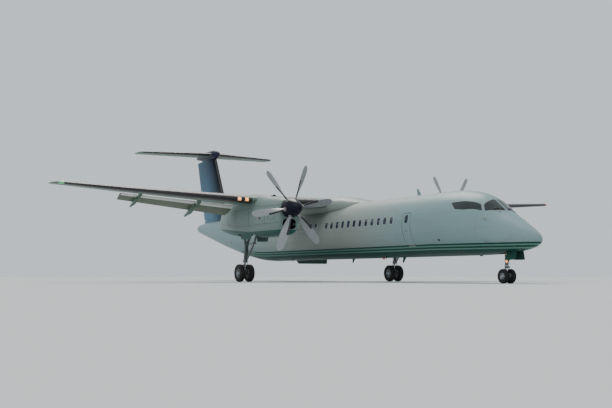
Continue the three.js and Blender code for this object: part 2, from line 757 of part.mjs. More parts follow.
// The leg is one tube up to its fork, whose two arms hang on a cross tube in the roof of the bay.
const MAIN_LEG_TOP_STATION = 15720;
const LEG = { piston: 64, cylinder: 92, collar: 105, housingHalf: 105, torqueLink: 26, linkPin: 30 };
const FORK = { half: 270, drop: 66, foot: 62, head: 66, tube: 60, tubeHalf: 350, blockAt: 330, blockDrop: 130 };
function mainLeg() {
  const [x, y, z] = mainAxle;
  const topX = station(MAIN_LEG_TOP_STATION);
  const topZ = WHEEL_BAY.roof - FIT_GAP;
  const along = (t, dx = 0, dy = 0) => [x + (topX - x) * t + dx, y + dy, z + (topZ - z) * t];
  const { tube, bore } = axleHousing(mainAxle, MAIN_WHEEL, LEG.housingHalf, LEG.collar);
  const head = (across) => [topX, y + across, topZ - FORK.drop];
  const arms = [-1, 1].map((side) => {
    return rod(along(0.56, 0, side * 20), head(side * FORK.half), FORK.foot, FORK.head);
  });
  const blocks = [y - FORK.blockAt, y + FORK.blockAt].map((at) => {
    return box(topX - 90, topX + 90, at - 40, at + 40, topZ - FORK.blockDrop, topZ);
  });
  const pieces = [
    rod(along(0), along(0.34), LEG.piston),
    rod(along(0.26), along(0.62), LEG.cylinder),
    rod(along(0.2), along(0.3), LEG.collar),
    tube,
    ...arms,
    rod(head(-FORK.tubeHalf), head(FORK.tubeHalf), FORK.tube, FORK.tube, 12),
    ...blocks,
    rod(along(0.08, -150), along(0.17, -150), LEG.linkPin),
    rod(along(0.03, -10), along(0.08, -150), LEG.torqueLink),
    rod(along(0.17, -150), along(0.28, -60), LEG.torqueLink),
  ];
  return cut(join(...pieces), bore);
}

// The drag brace runs from a collar low on the leg, over a knee, to the front of the bay.
const BRACE = { collar: 0.24, kneeStation: 15020, kneeZ: 1850, topStation: 14500 };
function mainBrace() {
  const [x, y, z] = mainAxle;
  const topX = station(BRACE.topStation);
  const topZ = WHEEL_BAY.roof - FIT_GAP;
  const legX = x + (station(MAIN_LEG_TOP_STATION) - x) * BRACE.collar;
  const legZ = z + (topZ - z) * BRACE.collar;
  const low = [legX + 118, y, legZ];
  const knee = [station(BRACE.kneeStation), y, BRACE.kneeZ];
  const top = [topX, y, topZ - 90];
  const across = ([px, , pz], half, radius) => rod([px, y - half, pz], [px, y + half, pz], radius);
  const pieces = [
    rod(low, knee, 44),
    rod(knee, top, 50),
    across([low[0] - 6, y, low[2]], 75, 40),
    across(knee, 85, 56),
    across(top, 300, 48),
    ...[y - 230, y + 230].map((at) => box(topX - 60, topX + 60, at - 30, at + 30, top[2], topZ)),
  ];
  const clear = LEG.collar + 2 * FIT_GAP;
  const legRoom = rod([x, y, z], [station(MAIN_LEG_TOP_STATION), y, topZ], clear, clear, 20);
  return cut(join(...pieces), legRoom);
}

// The inboard door stands against the wall of the bay.
function inboardDoor() {
  const wall = ENGINE_Y - WHEEL_BAY.half + FIT_GAP;
  return sidePrism(doorOutline(INBOARD_DOOR), wall, wall + INBOARD_DOOR.thick);
}

function noseLegUpper() {
  const [x, , z] = noseAxle;
  const roof = NOSE_BAY.roof - FIT_GAP;
  return join(
    rod([x, 0, z + 400], [x, 0, roof], 72, 80),
    box(x - 110, x + 110, -NOSE_BAY.half + 20, NOSE_BAY.half - 20, roof - 120, roof),
    rod([x + 40, 0, z + 520], [station(NOSE_BAY.s0 + 170), 0, roof - 60], 34),
    box(station(NOSE_BAY.s0 + 230), station(NOSE_BAY.s0 + 110), -120, 120, roof - 120, roof),
  );
}

// The lower leg turns with the nose wheels about the upright leg, and has a flat lug for a tow bar.
const TOW_LUG_REACH = 125;
function noseLegSteering() {
  const [x, , z] = noseAxle;
  const { tube, bore } = axleHousing(noseAxle, NOSE_WHEEL, 80, 62);
  const pieces = [
    rod([x, 0, z], [x, 0, z + 393], 50, 50, 20),
    rod([x, 0, z + 300], [x, 0, z + 393], 86, 86, 20),
    box(x + 60, x + 110, -70, 70, z + 305, z + 385),
    box(x, x + TOW_LUG_REACH, -45, 45, z - 28, z + 28),
    tube,
  ];
  return cut(join(...pieces), bore);
}

const NOSE_DOOR = { s0: 1100, s1: 1700, bottom: 900, thick: 22, slope: 70 };
function noseGearDoor() {
  const { s0, s1, bottom, thick, slope } = NOSE_DOOR;
  const [y, top] = [NOSE_BAY.half - 45, NOSE_BAY.roof - 260];
  const outline = [[y, top], [y - thick, top], [y + slope - thick, bottom], [y + slope, bottom]];
  const panel = loft(
    [s0 + 25, s1].map((s) => ({
      outline: outline.map(([a, b]) => new THREE.Vector2(a, b)),
      place: (p) => new THREE.Vector3(station(s), p.x, p.y),
    })),
  );
  const lugs = [s0 + 130, s1 - 130].map((s) =>
    box(station(s - 20), station(s + 20), y - thick, NOSE_BAY.half - FIT_GAP, top - 40, top - 2),
  );
  return join(panel, ...lugs);
}

// Tail

const finFixed = { to: RUDDER_HINGE - 0.014, cove: RUDDER_HINGE };
const rudderFore = {
  from: RUDDER_HINGE, to: RUDDER_TAB_HINGE - 0.011, round: RUDDER_HINGE, cove: RUDDER_TAB_HINGE,
};
const rudderAft = { from: RUDDER_TAB_HINGE, round: RUDDER_TAB_HINGE };

// Fillet ahead of the fin: station, top z, bottom z, half width
const DORSAL = table(
  ["s", "top", "bottom", "half"],
  [
    [22700, 3800, 3300, 30],
    [25400, 4230, 3300, 75],
    [28500, 4980, 3300, 120],
  ],
);
const dorsalFin = () => {
  return cut(bodyLoft(DORSAL, { sides: 16, power: 2.2 }), fuselageGrown, finWhole(2 * FIT_GAP));
};

const finWhole = (growMm = 0, top = FIN_TOP) =>
  join(
    finPart(FIN[0].z, RUDDER.z0 - 2 * SWING, {}, growMm),
    finPart(RUDDER.z0 - 2 * SWING, top, finFixed, growMm),
  );

const tailplaneShape = { to: ELEVATOR_HINGE - 0.022, cove: ELEVATOR_HINGE };
const elevatorShape = { from: ELEVATOR_HINGE, round: ELEVATOR_HINGE };
const tailplaneHalf = (growMm = 0) =>
  join(
    wingPart(TAILPLANE, 0, ELEVATOR.y0 - SWING, {}, growMm),
    wingPart(TAILPLANE, ELEVATOR.y0 - SWING, ELEVATOR.y1 + SWING, tailplaneShape, growMm),
    wingPart(TAILPLANE, ELEVATOR.y1 + SWING, TAILPLANE.at(-1).y, {}, growMm),
  );

// Fairing where the tailplane crosses the fin: station, top z, bottom z, half width
const BULLET = table(
  ["s", "top", "bottom", "half"],
  [
    [29200, 8090, 7960, 40],
    [29400, 8215, 7830, 150],
    [29850, 8320, 7735, 240],
    [30700, 8340, 7725, 265],
    [31650, 8290, 7800, 220],
    [32350, 8210, 7900, 130],
    [32830, 8120, 7990, 35],
  ],
);

const bullet = () => {
  const body = bodyLoft(BULLET, { sides: 16 });
  const slot = tailplaneHalf(2 * FIT_GAP);
  return cut(body, slot, mirrored(slot), finWhole(2 * FIT_GAP, FIN.at(-1).z));
};

// A flat strake low on the port side of the fuselage: station and height of its corners
const STRAKE = { y: 800, thick: 80, corners: [[16950, 1520], [17040, 915], [20070, 955], [20850, 1560]] };
const strake = () => {
  const { y, thick, corners } = STRAKE;
  return cut(sidePrism(corners, y - thick / 2, y + thick / 2), fuselageGrown);
};

// Assembly

const airliner = new THREE.Group();

function add(name, made, material) {
  const mesh = new THREE.Mesh(geometryOf(made), MATERIALS[material]);
  mesh.name = name;
  airliner.add(mesh);
}

function addPair(name, make, material) {
  const port = make();
  add(name + "_port", port, material);
  add(name + "_starboard", mirrored(port), material);
}

const recesses = DOORS.map((door) => doorRecess(door, DOOR_THICKNESS + FIT_GAP));
const airstairRecess = doorRecess({ side: 1, ...AIRSTAIR }, AIRSTAIR.recess);
const glassRooms = [grownPane(SIDE_GLASS, 300), grownPane(FRONT_GLASS, FRONT_GLASS_INNER_Y)];
const wingSlot = join(wingRoom(), mirrored(wingRoom()));
add(
  "fuselage",
  cut(
    join(fuselageWhole, jackPad(JACK_PADS.fuselage)),
    ...recesses, airstairRecess, ...glassRooms, ...glassRooms.map(mirrored), noseBay, wingSlot,
  ),
  "white",
);
add("radome", radome, "white");
add("tail_cone", tailCone, "white");
addPair("cockpit_side_window", () => sideGlass, "glass");
addPair("windscreen", () => frontGlass, "glass");
DOORS.forEach((door) => add(door.name, doorPanel(door), "white"));
add("airstair_door", airstairDoor(), "white");
add("wing_fairing", cut(bodyLoft(WING_FAIRING, { sides: 18, power: 2.4 }), fuselageGrown, wingSlot), "white");
add("wing_centre", wingCentre, "grey");
addPair("wing_outer", wingOuter, "grey");
addPair("flap_inner", innerFlap, "grey");
addPair("flap_outer", outerFlap, "grey");
addPair("aileron", aileron, "grey");
addPair("engine_cowl", cowl, "white");
addPair("nacelle", nacelleAft, "white");
addPair("engine_block", engineBlock, "dark_metal");
for (const side of ["port", "starboard"]) {
  add("propeller_" + side, propeller(side), "blade");
  add("spinner_" + side, spinner(side), "spinner");
}
addPair("main_leg", mainLeg, "steel");
addPair("main_drag_brace", mainBrace, "steel");
addPair("main_gear_door", inboardDoor, "white");
addPair("main_wheels", () => rims(MAIN_WHEEL, mainAxle), "steel");
addPair("main_tyre_outer", () => tyre(MAIN_TYRE_RADIUS, MAIN_WHEEL, mainAxle, 1), "rubber");
addPair("main_tyre_inner", () => tyre(MAIN_TYRE_RADIUS, MAIN_WHEEL, mainAxle, -1), "rubber");
add("nose_leg", noseLegUpper(), "steel");
add("nose_steering_leg", noseLegSteering(), "steel");
add("nose_wheels", rims(NOSE_WHEEL, noseAxle), "steel");
addPair("nose_tyre", () => tyre(NOSE_TYRE_RADIUS, NOSE_WHEEL, noseAxle, 1), "rubber");
addPair("nose_gear_door", noseGearDoor, "white");
add("dorsal_fin", dorsalFin(), "white");
add("fin", cut(finWhole(), fuselageGrown), "fin_blue");
add("rudder_fore", finPart(RUDDER.z0, RUDDER.z1, rudderFore), "fin_blue");
add("rudder_aft", finPart(RUDDER.z0, RUDDER.z1, rudderAft), "fin_blue");
add("tailplane", join(tailplaneHalf(), mirrored(tailplaneHalf())), "grey");
addPair("elevator", () => wingPart(TAILPLANE, ELEVATOR.y0, ELEVATOR.y1, elevatorShape), "grey");
add("tail_bullet", bullet(), "fin_blue");
add("belly_strake", strake(), "belly_green");

export default airliner;
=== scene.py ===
# The looks of a twin-engined, high-wing turboprop airliner parked on its landing gear.
# Metres, +X towards the nose, +Y to port, +Z up. A station is a distance aft of the nose.
import math
from functools import partial

import bmesh
import bpy
import numpy as np
from mathutils import Matrix, Vector


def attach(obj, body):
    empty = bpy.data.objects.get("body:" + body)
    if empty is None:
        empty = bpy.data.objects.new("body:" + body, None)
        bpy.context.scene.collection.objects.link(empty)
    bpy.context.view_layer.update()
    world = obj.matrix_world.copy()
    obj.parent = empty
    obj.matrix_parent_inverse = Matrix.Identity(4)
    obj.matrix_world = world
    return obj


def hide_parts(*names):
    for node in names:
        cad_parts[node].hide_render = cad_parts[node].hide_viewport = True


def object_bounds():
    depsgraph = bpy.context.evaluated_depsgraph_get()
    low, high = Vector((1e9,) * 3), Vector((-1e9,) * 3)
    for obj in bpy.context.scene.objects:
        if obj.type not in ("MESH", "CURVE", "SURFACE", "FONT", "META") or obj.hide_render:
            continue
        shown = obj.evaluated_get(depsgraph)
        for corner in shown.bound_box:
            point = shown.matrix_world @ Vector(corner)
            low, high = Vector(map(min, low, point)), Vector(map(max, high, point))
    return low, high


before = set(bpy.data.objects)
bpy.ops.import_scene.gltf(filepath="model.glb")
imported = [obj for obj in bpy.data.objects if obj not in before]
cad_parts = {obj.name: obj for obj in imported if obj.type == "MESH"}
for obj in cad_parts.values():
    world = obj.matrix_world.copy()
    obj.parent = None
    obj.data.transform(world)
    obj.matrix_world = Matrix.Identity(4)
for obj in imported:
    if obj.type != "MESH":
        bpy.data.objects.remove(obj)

bl_info = {
    "name": "Turboprop airliner",
    "version": (1, 0, 0),
    "blender": (4, 5, 0),
    "location": "3D View > Sidebar > Airliner",
    "description": "Skins, glass, propellers, landing gear and paint for a high-wing turboprop airliner",
    "category": "Object",
}

CAD_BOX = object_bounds()

# Driving sizes
LENGTH = round(CAD_BOX[1].x - CAD_BOX[0].x, 3)
ENGINE_Y = 4.4
PROP_RADIUS = 2.055
PROP_HUB_Z = 3.33
PROP_STATION = 11.08
MAIN_AXLE_STATION = 16.09
NOSE_AXLE_STATION = 1.9
SEAM = 0.004  # gap between two panels
SWING = 0.012  # gap between a control surface and what it turns in
SIDES = {"port": 1, "starboard": -1}


def table(columns, rows):
    """Named columns of a table of sizes."""
    return dict(zip(columns, np.array(rows, float).T))


# Fuselage sections: station, top, bottom, half width, height of the widest line
FUSELAGE = table(
    ("s", "top", "bottom", "half", "wide"),
    (
        (0, 1.66, 1.6, 0.035, 1.63), (0.06, 1.775, 1.5, 0.15, 1.64), (0.22, 1.905, 1.405, 0.29, 1.66),
        (0.5, 2.08, 1.315, 0.46, 1.695), (0.9, 2.3, 1.243, 0.64, 1.75), (1.35, 2.545, 1.187, 0.815, 1.825),
        (1.75, 2.765, 1.152, 0.94, 1.91), (2.15, 3.045, 1.13, 1.04, 2.0), (2.55, 3.315, 1.117, 1.12, 2.1),
        (2.95, 3.51, 1.11, 1.185, 2.2), (3.45, 3.65, 1.106, 1.25, 2.31), (4.15, 3.757, 1.105, 1.312, 2.41),
        (5.2, 3.795, 1.105, 1.345, 2.45), (20.8, 3.795, 1.105, 1.345, 2.45), (22, 3.794, 1.15, 1.342, 2.47),
        (23.5, 3.79, 1.33, 1.305, 2.54), (25, 3.78, 1.6, 1.215, 2.64), (26.5, 3.768, 1.9, 1.075, 2.76),
        (28, 3.75, 2.215, 0.89, 2.9), (29.5, 3.725, 2.54, 0.67, 3.06), (31, 3.685, 2.865, 0.43, 3.23),
        (31.8, 3.64, 3.04, 0.29, 3.32), (32.2, 3.59, 3.15, 0.195, 3.36), (32.4, 3.5, 3.25, 0.09, 3.375),
    ),
)
# Half width of the fuselage's even part, the height of its widest line, and where it ends
FUSELAGE_HALF = 1.345
FUSELAGE_WIDEST = 2.45
TAPER_START = 20.8
RADOME_END = 0.9
TAIL_CONE_START = 31.5
FUSELAGE_END = 32.4

# Wing sections: span position, leading edge station, chord, height of the chord line, thickness share
WING = table(
    ("y", "s", "chord", "z", "thick"),
    (
        (0, 13.6, 2.9, 3.83, 0.17), (5.1, 13.64, 2.86, 3.83, 0.165), (11.1, 14.24, 1.68, 4.15, 0.145),
        (13.88, 14.505, 1.125, 4.322, 0.13), (14.11, 14.83, 0.76, 4.338, 0.11),
        (14.21, 15.2, 0.37, 4.345, 0.09),
    ),
)
WING_TIP = 14.21
WING_TIP_START = 13.88
WING_SPLIT_Y = 5.1
FLAP_START = 0.645
SHROUD_END = 0.765
AILERON_HINGE = 0.76
INNER_FLAP = {"y0": 1.48, "y1": 3.64, "chord": 0.385}
OUTER_FLAP = {"y0": 5.19, "y1": 10.9, "chord": 0.36}
AILERON = {"y0": 10.98, "y1": 13.8}
FLAP_REST_ANGLE = 25
FLAP = {"lead": 0.66, "lead_drop": 0.016, "thick": 1.1, "pivot": 0.616, "pivot_drop": 0.18}
# Track fairings under the outer flap: span positions, half width and rounding of the edges, and side views in
# shares of the wing's chord ahead of the flap, and of the flap's own chord on it
FLAP_FAIRINGS = (7.2, 10.1)
FAIRING_HALF = 0.045
FAIRING_ROUNDING = 0.035
FIXED_FAIRING = ((0.4, 0.02), (0.64, 0.02), (0.64, -0.16), (0.55, -0.14), (0.45, -0.08))
MOVING_FAIRING = ((0.08, 0), (0.85, 0), (1.66, -0.02), (1.6, -0.12), (0.7, -0.36), (0.08, -0.28))

# De-icing boots: from where to where along the span or the height, and the share of the chord that they cover
BOOTS = {
    "wing_centre": (1.62, 3.6, 0.13),
    "wing_outer": (5.16, 13.74, 0.13),
    "tailplane": (0.3, 4.42, 0.1),
    "fin": (4.9, 7.7, 0.025),
}

# Fin and tailplane sections, as the wing's
FIN = table(
    ("z", "s", "chord", "thick"),
    ((3.3, 27.42, 3.85, 0.13), (4.23, 27.9, 3.66, 0.13), (7.96, 29.8, 2.95, 0.12)),
)
RUDDER_HINGE = 0.66
RUDDER_TAB_HINGE = 0.83
RUDDER = {"z0": 3.86, "z1": 7.735}
FIN_TOP = 7.9
TAILPLANE = table(
    ("y", "s", "chord", "z", "thick"),
    ((0, 29.83, 2.33, 8.06, 0.12), (4.48, 30.8, 1.4, 8.06, 0.1), (4.635, 31.02, 1.08, 8.06, 0.08)),
)
ELEVATOR_HINGE = 0.62
ELEVATOR = {"y0": 0.33, "y1": 4.44}

# Nacelle sections: station, top, bottom, half width, how far the section leans aft at its foot
NACELLE = table(
    ("s", "top", "bottom", "half", "lean"),
    (
        (11.42, 3.745, 2.19, 0.505, 0), (11.65, 3.79, 2.14, 0.56, 0), (12.3, 3.88, 2.1, 0.625, 0),
        (13.1, 4, 2.085, 0.66, 0), (13.8, 4.11, 2.09, 0.672, 0), (14.8, 4.205, 2.115, 0.675, 0),
        (16, 4.215, 2.185, 0.665, 0), (17, 4.165, 2.3, 0.57, 0.06), (17.8, 4.105, 2.45, 0.405, 0.17),
        (18.35, 4.05, 2.58, 0.225, 0.26), (18.75, 4.01, 2.72, 0.06, 0.33),
    ),
)
NACELLE_POWER = 2.7
FIREWALL_STATION = 13.8
INTAKE = {"half": 0.335, "top": 2.86, "bottom": 2.385, "depth": 0.42}
WHEEL_BAY = {"s0": 13.98, "s1": 15.98, "half": 0.43, "roof": 2.78}
BAY_TOP = WHEEL_BAY["roof"] - 0.001  # where the fittings in the bay end
BAY_PIPES = (-0.34, -0.28, 0.25, 0.32)  # how far each pipe lies from the middle of the bay
# Rounding of the cowl's front edge: how far aft and how far inset
COWL_LIP = ((0, 0.06), (0.004, 0.035), (0.018, 0.014), (0.04, 0.003))
# Scoops on the cowl and the exhaust: rows of station, height, half width and half height
SIDE_SCOOPS = (
    ((12.42, 3.3, 0.02, 0.03), (12.3, 3.3, 0.05, 0.045), (12.16, 3.3, 0.055, 0.045)),
    ((13.3, 2.95, 0.02, 0.025), (13.2, 2.95, 0.045, 0.04), (13.06, 2.95, 0.05, 0.04)),
)
TOP_SCOOP = ((13.3, 3.98, 0.05, 0.03), (13.1, 4.0, 0.09, 0.05), (12.9, 4.0, 0.09, 0.055))
EXHAUST = ((16.2, 4.14, 0.16, 0.03), (16.6, 4.2, 0.2, 0.075), (17.1, 4.2, 0.2, 0.085))

# Fairing over the wing and the fuselage crown, and the one where the tailplane crosses the fin
WING_FAIRING = table(
    ("s", "top", "bottom", "half"),
    (
        (11.7, 3.79, 3.5, 0.25), (12.3, 3.925, 3.33, 0.7), (13.1, 4.11, 3.23, 1.01), (13.9, 4.19, 3.2, 1.15),
        (15.6, 4.195, 3.2, 1.2), (16.7, 4.13, 3.22, 1.13), (17.6, 3.99, 3.29, 0.88), (18.7, 3.8, 3.48, 0.33),
    ),
)
BULLET = table(
    ("s", "top", "bottom", "half"),
    (
        (29.2, 8.09, 7.96, 0.04), (29.4, 8.215, 7.83, 0.15), (29.85, 8.32, 7.735, 0.24),
        (30.7, 8.34, 7.725, 0.265), (31.65, 8.29, 7.8, 0.22), (32.35, 8.21, 7.9, 0.13),
        (32.83, 8.12, 7.99, 0.035),
    ),
)
DORSAL = table(
    ("s", "top", "bottom", "half"),
    ((22.7, 3.8, 3.3, 0.03), (25.4, 4.23, 3.3, 0.075), (28.5, 4.98, 3.3, 0.12)),
)

# Propeller blade sections: share of the radius, chord, pitch angle in degrees, thickness
BLADE = table(
    ("r", "chord", "pitch", "thick"),
    (
        (0.12, 0.13, 68, 0.124), (0.24, 0.205, 63, 0.085), (0.36, 0.31, 54, 0.05),
        (0.65, 0.385, 37, 0.03), (0.9, 0.325, 27, 0.02), (1, 0.17, 25, 0.012),
    ),
)
BLADE_COUNT = 6
BLADE_PHASE = {"port": 0, "starboard": 10}
# Profiles as radius and distance: the collar at the foot of a blade, out from the hub, and the spinner, its
# rear rim and its trim ring ahead of the propeller plane
COLLAR_START = 0.24
COLLAR = ((0.075, 0), (0.1, 0), (0.1, 0.19), (0.075, 0.2))
SPINNER = ((0, 0.7), (0.09, 0.66), (0.215, 0.51), (0.325, 0.29), (0.4, 0.06), (0.44, -0.32))
SPINNER_RIM = ((0.44, -0.32), (0.425, -0.325), (0, -0.325))
SPINNER_RING = ((0.437, -0.3), (0.4425, -0.3), (0.4425, -0.285), (0.437, -0.285))

# Doors: side, stations and heights
DOORS = {
    "emergency_exit_starboard": (-1, 6.42, 6.985, 1.59, 2.93),
    "service_door_aft": (-1, 21.83, 22.49, 1.65, 3.12),
    "passenger_door_aft": (1, 21.25, 22.0, 1.56, 3.2),
}
AIRSTAIR = {"s0": 5.85, "s1": 6.62, "z0": 1.44, "z1": 3.18}
AIRSTAIR_RECESS = 0.33
AIRSTAIR_STEPS = 5
# The string that carries the treads: start and end station on the door, depths, and the depth of the handrail
STRINGS = {"starts": (0.06, -0.09), "wide": 0.03, "outer": 0.078, "inner": 0.27, "rail": 0.285}
DOOR_THICKNESS = 0.08
DOOR_LINE = 0.026
HANDLE = {"half": 0.08, "tall": 0.07, "height_share": 0.42}
PROUD_TOOL = -0.05  # how far outside the skin a cut begins

# Cockpit glass: corners as station and height, and stations of the windscreen's edge at its centre post
SIDE_GLASS = ((2.34, 2.8), (2.56, 3.08), (3.3, 3.24), (3.95, 3.2), (3.62, 2.93), (3.2, 2.885))
FRONT_GLASS_POST = (1.8, 2.5)
FRONT_GLASS_SIDE = ((2.46, 3.06), (2.24, 2.79), (1.95, 2.8))
WINDSCREEN_POST = 0.045
GLASS_GAP = 0.006
GLASS_RECESS = 0.035

# Cabin windows: first station and how many follow at the pitch
WINDOW_ROWS = ((7.83, 12), (14.47, 2), (15.83, 11))
WINDOW_PITCH = 0.508
WINDOW = {"z": 2.69, "width": 0.24, "height": 0.34}
WINDOW_RECESS = 0.03

# Landing gear
MAIN_TYRE_RADIUS = 0.43
NOSE_TYRE_RADIUS = 0.28
MAIN_WHEEL = {"offset": 0.255, "width": 0.25, "rim": 0.215, "axle": 0.062}
NOSE_WHEEL = {"offset": 0.175, "width": 0.165, "rim": 0.135, "axle": 0.038}
MAIN_LEG_TOP_STATION = 15.72
LEG = {"piston": 0.062, "cylinder": 0.09, "link": 0.026}
# Collars round the main leg: share of its length from the axle, inner and outer radius, half height
PAINTED_COLLARS = ((0.34, 0.08, 0.104, 0.02), (0.5, 0.08, 0.104, 0.014), (0.585, 0.08, 0.112, 0.03))
BARE_COLLARS = ((0.27, 0.05, 0.108, 0.035), (0.22, 0.05, 0.078, 0.012))
# Torque link of the main leg: share of the leg's length, and how far ahead of its line
TORQUE_LINK = ((0.03, -0.03), (0.08, -0.15), (0.17, -0.15), (0.28, -0.06))
# Housings round the axles, as radius and distance from the middle
MAIN_HOUSING = (
    (0.064, -0.105), (0.098, -0.105), (0.105, -0.095), (0.105, 0.095), (0.098, 0.105), (0.064, 0.105),
)
NOSE_HOUSING = ((0.04, -0.08), (0.058, -0.08), (0.062, -0.074), (0.062, 0.074), (0.058, 0.08), (0.04, 0.08))
COOLING_HOLES = 9
WHEEL_BOLTS = 10
FORK = {"half": 0.27, "drop": 0.067, "tube": 0.058, "tube_half": 0.35}
BRACE = {"collar": 0.24, "knee": (15.02, 1.85), "top": 14.5}
INBOARD_DOOR = {"s0": 14.3, "s1": 15.6, "top": 2.33, "bottom": 1.92, "thick": 0.03}
OUTBOARD_DOOR = {"s0": 14.35, "s1": 15.55, "top": 2.3, "bottom": 2.02, "thick": 0.03}
NOSE_DOOR = {"s0": 1.1, "s1": 1.7, "bottom": 0.9, "thick": 0.022, "slope": 0.07}
NOSE_BAY = {"s0": 1.09, "s1": 2.18, "half": 0.215, "roof": 1.56}

# Jack pads: station, y, upper end, foot and radius
NOSE_PAD = (3.4, 0, 1.25, 1.075, 0.07)
WING_PAD = (16.4, ENGINE_Y, 2.5, 2.195, 0.08)

# Lamps in the boots of the wing: span positions, and the rim's and the lens's half width, share of the chord
# and height
LANDING_LAMPS = (5.43, 5.79)
LAMP_COVERS = {"bare_metal": (0.1, 0.02, 0.0045), "landing_lamp": (0.075, 0.012, 0.006)}
# Lamps on the nose leg: height and radius
NOSE_LAMPS = {"dim_lamp": (1.12, 0.045), "landing_lamp": (0.85, 0.06)}
# Beacons above and below, and the tail lamp: place, the way that it faces, and its size beside a beacon's
BEACONS = (((19.4, 0, 3.79), (0, 0, 1)), ((10.4, 0, 1.11), (0, 0, -1)))
TAIL_LAMP = ((32.39, 0, 3.375), (-1, 0, 0), 0.6)
BEACON_DOME = ((0, 0.07), (0.035, 0.062), (0.062, 0.035), (0.07, 0), (0.07, -0.02), (0, -0.02))

# Joints and hatches on a nacelle's sides: corners as station and height
COWL_SEAMS = (
    ((11.47, 2.68), (13.77, 2.68)), ((11.47, 3.47), (13.77, 3.52)), ((12.62, 2.68), (12.62, 3.5)),
    ((11.8, 2.85), (12.35, 2.85), (12.35, 3.2), (11.8, 3.2), (11.8, 2.85)),
)
NACELLE_SEAMS = (
    ((13.83, 2.62), (16.1, 2.66), (18.1, 2.93)), ((13.83, 3.45), (17.6, 3.4)),
    ((14.25, 2.62), (14.25, 3.45)), ((15.7, 2.65), (15.7, 3.42)), ((16.75, 2.73), (16.75, 3.41)),
)

# Blade aerials and drains: station, y, height of the skin, how tall (down if negative), chord
AERIALS = (
    (7.4, 0, 3.78, 0.32, 0.3), (20.6, 0, 3.78, 0.28, 0.26), (8.6, 0, 1.12, -0.24, 0.24),
    (12.9, 0, 1.12, -0.2, 0.22), (26.5, 0, 1.93, -0.1, 0.12), (9.5, -0.4, 1.2, -0.16, 0.1),
    (19.9, 0.4, 1.2, -0.16, 0.1), (18.2, -0.5, 1.22, -0.09, 0.08),
)
# Static wicks: span positions on the ailerons and elevators, heights on the rudder, length
AILERON_WICKS = (11.3, 11.95, 12.6, 13.25)
ELEVATOR_WICKS = (1.2, 2.2, 3.2, 4.2)
RUDDER_WICKS = (4.6, 5.5, 6.4)
WICK_LENGTH = 0.13
# Stations of the rows of fasteners round each cowl and each nacelle
COWL_ROWS = (11.55, 13.72)
NACELLE_ROWS = (13.88,)
# Air data probes low and high on both sides of the nose: station and height
PROBES = ((2.08, 2.46), (2.03, 1.59))
# Side view of the skid under the tail, as stations and heights
TAIL_SKID = ((27.3, 2.1), (27.5, 2.01), (28.2, 2.16), (28.42, 2.33), (28.3, 2.38), (27.4, 2.16))
# Dark vents on the starboard skin: stations and heights
SKIN_VENTS = ((29.78, 30.02, 2.7, 2.76), (24.6, 24.82, 2.2, 2.26), (4.6, 4.74, 1.7, 1.78))
# Wipers: stations and angles above the widest line, in degrees
WIPER = {"arm": ((1.79, 66), (1.86, 71), (1.95, 76)), "blade": ((1.88, 84), (1.96, 76), (2.06, 64))}

# Strake low on the port side: corners as station and height
STRAKE = {"y": 0.8, "thick": 0.08, "corners": ((16.95, 1.52), (17.04, 0.915), (20.07, 0.955), (20.85, 1.56))}


def along(station):
    """The X of a station."""
    return LENGTH / 2 - station


def side_view(outline):
    """An outline in station and height, as x and z."""
    return [(along(s), z) for s, z in outline]


# Curves and solids. A solid is a pair: an array of points, and faces that list them.


def smooth(xs, ys, x):
    """A curve through points that never overshoots them."""
    step, slope = np.diff(xs), np.diff(ys) / np.diff(xs)
    tangent = np.concatenate([slope[:1], np.zeros(len(xs) - 2), slope[-1:]])
    same = slope[:-1] * slope[1:] > 0
    before, after = 2 * step[1:] + step[:-1], step[1:] + 2 * step[:-1]
    flow = (before + after) / (before / np.where(same, slope[:-1], 1) + after / np.where(same, slope[1:], 1))
    tangent[1:-1] = np.where(same, flow, 0)
    i = np.clip(np.searchsorted(xs, x) - 1, 0, len(step) - 1)
    t, h = (x - xs[i]) / step[i], step[i]
    lead = (2 * t**3 - 3 * t**2 + 1) * ys[i] + (t**3 - 2 * t**2 + t) * h * tangent[i]
    return lead + (3 * t**2 - 2 * t**3) * ys[i + 1] + (t**3 - t**2) * h * tangent[i + 1]


def rows_at(rows, key, values, curved=True, root=False):
    """Every column of a table at the values, by smooth curves or by straight lines."""
    values = np.atleast_1d(np.asarray(values, float))
    xs, x = rows[key], values
    if root:
        xs, x = np.sqrt(xs), np.sqrt(values)
    found = {name: smooth(xs, ys, x) if curved else np.interp(x, xs, ys) for name, ys in rows.items()}
    found[key] = values
    return found


def each(rows):
    """The rows of a table, one by one."""
    names = list(rows)
    return [dict(zip(names, row)) for row in zip(*rows.values())]


def welded(points, faces):
    """The same solid with points that coincide made one, and its faces turned outwards."""
    points = np.asarray(points, float)
    keys, index = np.unique(np.round(points, 6), axis=0, return_inverse=True)
    index = index.reshape(-1)
    kept = []
    for face in faces:
        loop = [index[v] for v in face]
        loop = [v for k, v in enumerate(loop) if v != loop[k - 1]]
        if len(loop) > 2:
            kept.append(loop)
    fans = np.array([(f[0], f[k], f[k + 1]) for f in kept for k in range(1, len(f) - 1)])
    a, b, c = (keys[fans[:, k]] - keys.mean(0) for k in range(3))
    if np.einsum("ij,ij->", a, np.cross(b, c)) < 0:
        kept = [loop[::-1] for loop in kept]
    return keys, kept


def grid_faces(rows, columns, wrap_rows=False, wrap_columns=True):
    """The four-sided faces between rows of points."""
    r = np.arange(rows if wrap_rows else rows - 1)[:, None]
    c = np.arange(columns if wrap_columns else columns - 1)[None]
    after, beside = (r + 1) % rows, (c + 1) % columns
    corners = (r * columns + c, r * columns + beside, after * columns + beside, after * columns + c)
    full = np.broadcast_shapes(r.shape, c.shape)
    return np.stack([np.broadcast_to(k, full) for k in corners], -1).reshape(-1, 4).tolist()


